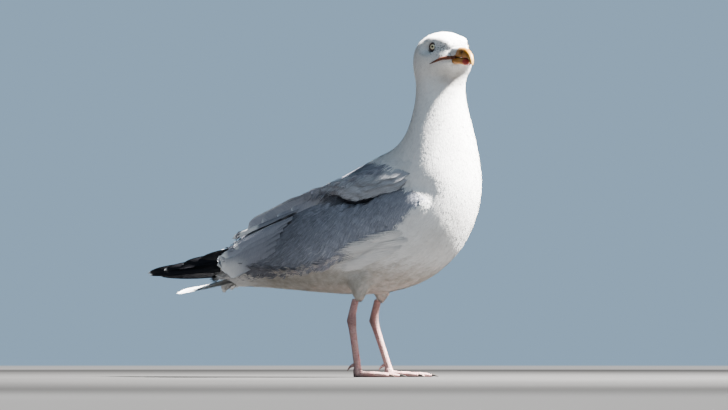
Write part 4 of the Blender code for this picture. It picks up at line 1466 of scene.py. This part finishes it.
# Mouth line behind the bill, in head space, from the bill back to its corner below the eye.
GAPE = [
    (36, 6.2, -14.4), (29, 8.6, -14.2), (26, 13.5, -14.4), (22, 19, -15.8), (16, 24, -18.7),
    (10.5, 26.4, -20.9), (5, 28.4, -22.4),
]
GAPE_HALF_MM = (1.8, 2.3, 2.4, 2.0, 1.5, 0.9, 0.3)
GAPE_RINGS, GAPE_AROUND, GAPE_ON_BILL = 36, 12, 0.12  # the last is the share that lies on the bill
GAPE_RED, GAPE_DARK = 0.55, (0.75, 0.97)  # darker towards the corner


def make_gape(side_name, side):
    """The folded edge of the mouth, a thin band over the feathers of the cheek."""
    rows = np.array(GAPE, float) * [1, side, 1]
    t = np.linspace(0, len(rows) - 1, GAPE_RINGS)
    line = from_head(along_rows(rows, t) * MM)
    found, normal = skin_surface.nearest(line)
    share = np.linspace(0, 1, GAPE_RINGS)[:, None]
    line = np.where(share < GAPE_ON_BILL, line, found + normal * 0.9 * MM)
    for _ in range(3):
        line[1:-1] = (line[:-2] + line[1:-1] * 2 + line[2:]) / 4
    tangent = unit(np.gradient(line, axis=0))
    beside = unit(np.cross(normal, tangent))
    half = np.interp(t, range(len(rows)), GAPE_HALF_MM)[:, None] * MM
    angle = np.linspace(0, 2 * math.pi, GAPE_AROUND, endpoint=False)
    grid = (
        line[:, None] + beside[:, None] * (np.cos(angle)[None, :, None] * half[:, None])
        + normal[:, None] * (np.sin(angle)[None, :, None] * half[:, None] * 0.7)
    )
    obj, points = lofted(f"gape_{side_name}", grid, horn_look)
    dark = np.interp(share[:, 0], (0, 1), GAPE_DARK)
    dark = np.repeat(np.concatenate([dark[:1], dark, dark[-1:]]), GAPE_AROUND)
    put_vector(obj, "horn", np.stack([np.zeros(len(points)), np.full(len(points), GAPE_RED), dark], axis=1))
    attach(obj, "root")


# ---------------------------------------------------------------- eyes

GAZE_FORWARD, GAZE_UP = math.radians(43), 0.06
EYE_BANDS, EYE_AROUND, CORNEA_HIGH = 56, 64, 0.75 * MM
LID_WIDE, LID_TALL, LID_THICK, LID_LIFT = 4.5 * MM, 4.4 * MM, 1.35 * MM, 0.15 * MM
LID_RINGS, LID_AROUND = 96, 14


def eye_axes(side):
    """The way an eye looks, the way round to the front and up, in the model's frame."""
    out = HEAD_AXES @ np.array([math.sin(GAZE_FORWARD), side * math.cos(GAZE_FORWARD), GAZE_UP])
    ahead = HEAD_AXES @ np.array([math.cos(GAZE_FORWARD), -side * math.sin(GAZE_FORWARD), 0])
    out = unit(out)
    ahead = unit(ahead - out * (ahead @ out))
    return out, ahead, np.cross(out, ahead) * side * -1


def make_eye(side_name, side):
    """An eyeball with its raised cornea, and its lid."""
    middle = centre_of(f"eye_{side_name}")
    out, ahead, up = eye_axes(side)
    polar = np.linspace(0.002, math.pi - 0.002, EYE_BANDS)
    angle = np.linspace(0, 2 * math.pi, EYE_AROUND, endpoint=False)
    radius = EYE_RADIUS + CORNEA_HIGH * bell(polar, 0.55)
    ring = np.cos(angle)[:, None] * ahead + np.sin(angle)[:, None] * up
    grid = middle + (
        out * (radius * np.cos(polar))[:, None, None] + ring[None] * (radius * np.sin(polar))[:, None, None]
    )
    obj, points = lofted(f"eyeball_{side_name}", grid, eye_look)
    rel = points - middle
    along = rel @ out
    off = np.linalg.norm(rel - along[:, None] * out, axis=1) / MM
    off = np.where(along < 0, 9.0, off)
    turn = np.arctan2(rel @ up, rel @ ahead)
    put_vector(obj, "gaze", np.stack([off, np.sin(turn) + np.cos(2 * turn), turn], axis=1))
    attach(obj, "root")
    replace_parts(obj, f"eye_{side_name}")
    make_lid(side_name, middle, out, ahead, up)


def make_lid(side_name, middle, out, ahead, up):
    """The ring of bare lid round the eye, hugging the ball, with fine folds."""
    angle = np.linspace(0, 2 * math.pi, LID_RINGS, endpoint=False)
    around = np.linspace(0, 2 * math.pi, LID_AROUND, endpoint=False)
    wide = LID_WIDE * (1 + 0.06 * np.cos(angle)) + 0.10 * MM * np.sin(9 * angle)
    tall = LID_TALL * (1 - 0.05 * (np.sin(angle) > 0)) + 0.08 * MM * np.sin(7 * angle + 1)
    flat = ahead * (np.cos(angle) * wide)[:, None] + up * (np.sin(angle) * tall)[:, None]
    reach = np.linalg.norm(flat, axis=1)
    high = np.sqrt(np.maximum(EYE_RADIUS**2 - reach**2, 0)) + LID_LIFT
    line = middle + flat + out * high[:, None]
    outward = unit(line - middle)
    tangent = unit(np.roll(line, -1, axis=0) - np.roll(line, 1, axis=0))
    beside = np.cross(outward, tangent)
    thick = LID_THICK * (1 + 0.12 * np.sin(13 * angle))[:, None, None]
    grid = (
        line[:, None] + outward[:, None] * np.sin(around)[None, :, None] * thick * 0.75
        + beside[:, None] * np.cos(around)[None, :, None] * thick
    )
    points = grid.reshape(-1, 3)
    quads = ring_faces(LID_RINGS, LID_AROUND, shut=True)
    obj = closed_mesh(f"lid_{side_name}", points, quads, middle, lid_look)
    rim = np.tile(smooth(0.2, 1.0, np.cos(around)), LID_RINGS)
    put_vector(obj, "horn", np.stack([rim, rim, rim], axis=1))
    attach(obj, "root")


for side_name, side in SIDES.items():
    make_eye(side_name, side)
    make_gape(side_name, side)


# ---------------------------------------------------------------- legs

SCUTE_MM, SCUTE_DEEP_MM, TOE_SCUTE_MM = 3.4, 0.32, 3.0
WEB_TOP_MM, SOLE_MM, HEEL_MM = 2.4, 0.6, 71  # heights: the webs' top, the even sole, the heel joint


def scutes(place, length):
    """1 on the plates of a row of scales, falling to 0 in the creases between them."""
    return smooth(1.0, 0.55, np.abs(place / length % 1 - 0.5) * 2)


def make_leg_skin(side_name, side):
    """Shank, foot and hind toe as one scaly skin."""
    nodes = [f"{part}_{side_name}" for part in LEG_FLESH]
    leg = remeshed(f"leg_{side_name}", nodes, LEG_VOXEL, 2)
    mesh = leg.data
    points, _ = arrays_of(mesh)
    normals = vertex_normals(mesh)
    ankle = points[(points[:, 2] < 16 * MM) & (points[:, 2] > 10 * MM), :2].mean(axis=0)
    x, y, z = points.T / MM
    ahead = normals[:, 0] + 0.15 * normals[:, 1] * side
    plate = scutes(z + 0.8 * np.sin(3 * np.arctan2(normals[:, 1], normals[:, 0])), SCUTE_MM)
    on_shank = smooth(13, 18, z) * smooth(-0.1, 0.35, ahead)
    reach = np.linalg.norm(points[:, :2] - ankle, axis=1) / MM
    toe_plate = scutes(reach, TOE_SCUTE_MM)
    on_toe = smooth(WEB_TOP_MM, WEB_TOP_MM + 1.2, z) * smooth(13, 9, z) * smooth(0.1, 0.5, normals[:, 2])
    step = 1 - (1 - plate) * on_shank - (1 - toe_plate) * on_toe
    push = np.where(z < SOLE_MM, 0, -(1 - step) * SCUTE_DEEP_MM)
    points = points + normals * push[:, None] * MM
    points[:, 2] = np.maximum(points[:, 2], 0)
    move_points(mesh, points)
    mesh.materials.append(leg_look)
    # Painted shade: darker up the shank towards the body and on its rear side; darker also in the creases,
    # at the heel joint and on the webs.
    shade_and_tone = np.clip(
        0.55 * smooth(40, 75, z) + 0.25 * smooth(-0.2, -0.8, ahead)
        + 0.35 * (1 - step) + 0.4 * smooth(9, 3, np.abs(z - HEEL_MM)), 0, 1)
    webbing = smooth(WEB_TOP_MM + 0.6, WEB_TOP_MM - 0.6, z) * smooth(0.3, 0.8, normals[:, 2])
    put_vector(leg, "scales", np.stack([step, webbing, np.maximum(shade_and_tone, 0.45 * webbing)], axis=1))
    turn = np.arctan2(y - ankle[1] / MM, x - ankle[0] / MM) / (2 * math.pi) + 0.5
    put_map(leg, 0.02 + 0.96 * np.stack([turn, (z + reach) / (z + reach).max()], axis=1))
    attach(leg, "root")
    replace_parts(leg, *nodes)


for side_name, side in SIDES.items():
    make_leg_skin(side_name, side)
    for toe in ("inner", "middle", "outer"):
        claw = NODES[f"claw_{toe}_{side_name}"]
        claw.data.materials.clear()
        claw.data.materials.append(claw_look)


# ---------------------------------------------------------------- floor, light and camera

VIEW_TURN, VIEW_DISTANCE, VIEW_HEIGHT = math.radians(28), 5.5, 34 * MM
LENS_MM, SENSOR_MM, NEAR, FAR = 214.15, 36.0, 0.1, 60
AIM = np.array([68.6, -12.6, 218.4]) * MM
TO_CAMERA = np.array([math.sin(VIEW_TURN), -math.cos(VIEW_TURN), 0])
TO_RIGHT = np.array([math.cos(VIEW_TURN), math.sin(VIEW_TURN), 0])
UP = np.array([0.0, 0.0, 1.0])

# Each lamp: the way to it as shares to the right, to the camera and up, its distance, its width, its
# power, its colour and how many degrees it spreads.
LAMPS = {
    "key": ((0.64, 0.04, 0.78), 3.0, 0.36, 350, (1.0, 0.97, 0.93), 76),
    "fill": ((0.15, 0.75, 0.65), 3.2, 1.8, 15, (0.64, 0.82, 1.0), 120),
}
SKY_LIGHT, SKY_STRENGTH = colour(0.44, 0.68, 1.0), 0.055
BACKDROP, NO_LIGHT = colour(0.29, 0.44, 0.60), colour(0, 0, 0)
FLOOR_TINT, FLOOR_CLOUD = colour(0.022, 0.022, 0.0225), colour(0.9, 0.9, 0.9)
FLOOR_PALE = colour(0.62, 0.61, 0.60)
FLOOR_HALF, FLOOR_ROUGH, FLOOR_DROP = 9.0, 0.9, 0.1 * MM
LIGHT_END, FLOOR_END = (1.7, 2.5), (3.4, 4.6)  # where the lamp's pool ends and the pale floor does


def floor_look():
    """A matt pale sheet, hardly clouded, that glows past the lamp's pool and ends as the backdrop."""
    made = bpy.data.materials.new("studio_sheet")
    made.use_nodes = True
    n = Nodes(made.node_tree)
    shader = made.node_tree.nodes["Principled BSDF"]
    place = n.place()
    cloudy = n.noise(place, 2.5, 3.0)
    tint = n.mixed(n.maths("MULTIPLY", cloudy, 0.04), FLOOR_TINT, FLOOR_CLOUD)
    away = n.add("VectorMath", {0: place}, operation="LENGTH").outputs["Value"]
    far = n.ramp(away, *FLOOR_END)
    glow = n.mixed(n.ramp(away, *LIGHT_END), NO_LIGHT, FLOOR_PALE)
    n.feed(shader.inputs["Base Color"], n.mixed(far, tint, NO_LIGHT))
    n.feed(shader.inputs["Emission Color"], n.mixed(far, glow, BACKDROP))
    shader.inputs["Emission Strength"].default_value = 1.0
    shader.inputs["Roughness"].default_value = FLOOR_ROUGH
    return made


def make_floor():
    """A wide level floor all round the bird."""
    corners = [(-1, -1), (1, -1), (1, 1), (-1, 1)]
    points = np.array([(x * FLOOR_HALF, y * FLOOR_HALF, -FLOOR_DROP) for x, y in corners])
    mesh_object("floor", points, np.array([(0, 1, 2, 3)]), floor_look())


def aimed(name, data, place):
    """A lamp or camera at a place, turned towards the bird."""
    made = bpy.data.objects.new(name, data)
    bpy.context.scene.collection.objects.link(made)
    made.location = Vector(place)
    made.rotation_euler = (Vector(AIM) - Vector(place)).to_track_quat("-Z", "Y").to_euler()
    return made


def make_lamps():
    for name, (way, distance, size, power, tint, spread) in LAMPS.items():
        data = bpy.data.lights.new(name, "AREA")
        data.shape, data.size, data.energy, data.color = "DISK", size, power, tint
        data.spread = math.radians(spread)
        right, near, high = way
        aimed(name, data, AIM + (TO_RIGHT * right + TO_CAMERA * near + UP * high) * distance)


def make_world():
    """Dim even light from all round, before a plain blue-grey backdrop."""
    world = bpy.data.worlds.new("studio")
    bpy.context.scene.world = world
    world.use_nodes = True
    nodes, links = world.node_tree.nodes, world.node_tree.links
    light = nodes["Background"]
    light.inputs["Color"].default_value = SKY_LIGHT
    light.inputs["Strength"].default_value = SKY_STRENGTH
    backdrop = nodes.new("ShaderNodeBackground")
    backdrop.inputs["Color"].default_value = BACKDROP
    seen = nodes.new("ShaderNodeMixShader")
    links.new(nodes.new("ShaderNodeLightPath").outputs["Is Camera Ray"], seen.inputs["Fac"])
    links.new(light.outputs["Background"], seen.inputs[1])
    links.new(backdrop.outputs["Background"], seen.inputs[2])
    links.new(seen.outputs["Shader"], nodes["World Output"].inputs["Surface"])


def make_camera():
    data = bpy.data.cameras.new("view")
    data.sensor_width, data.lens = SENSOR_MM, LENS_MM
    data.clip_start, data.clip_end = NEAR, FAR
    place = AIM + TO_CAMERA * VIEW_DISTANCE
    place[2] = VIEW_HEIGHT
    bpy.context.scene.camera = aimed("view", data, place)


make_floor()
make_world()
make_lamps()
make_camera()
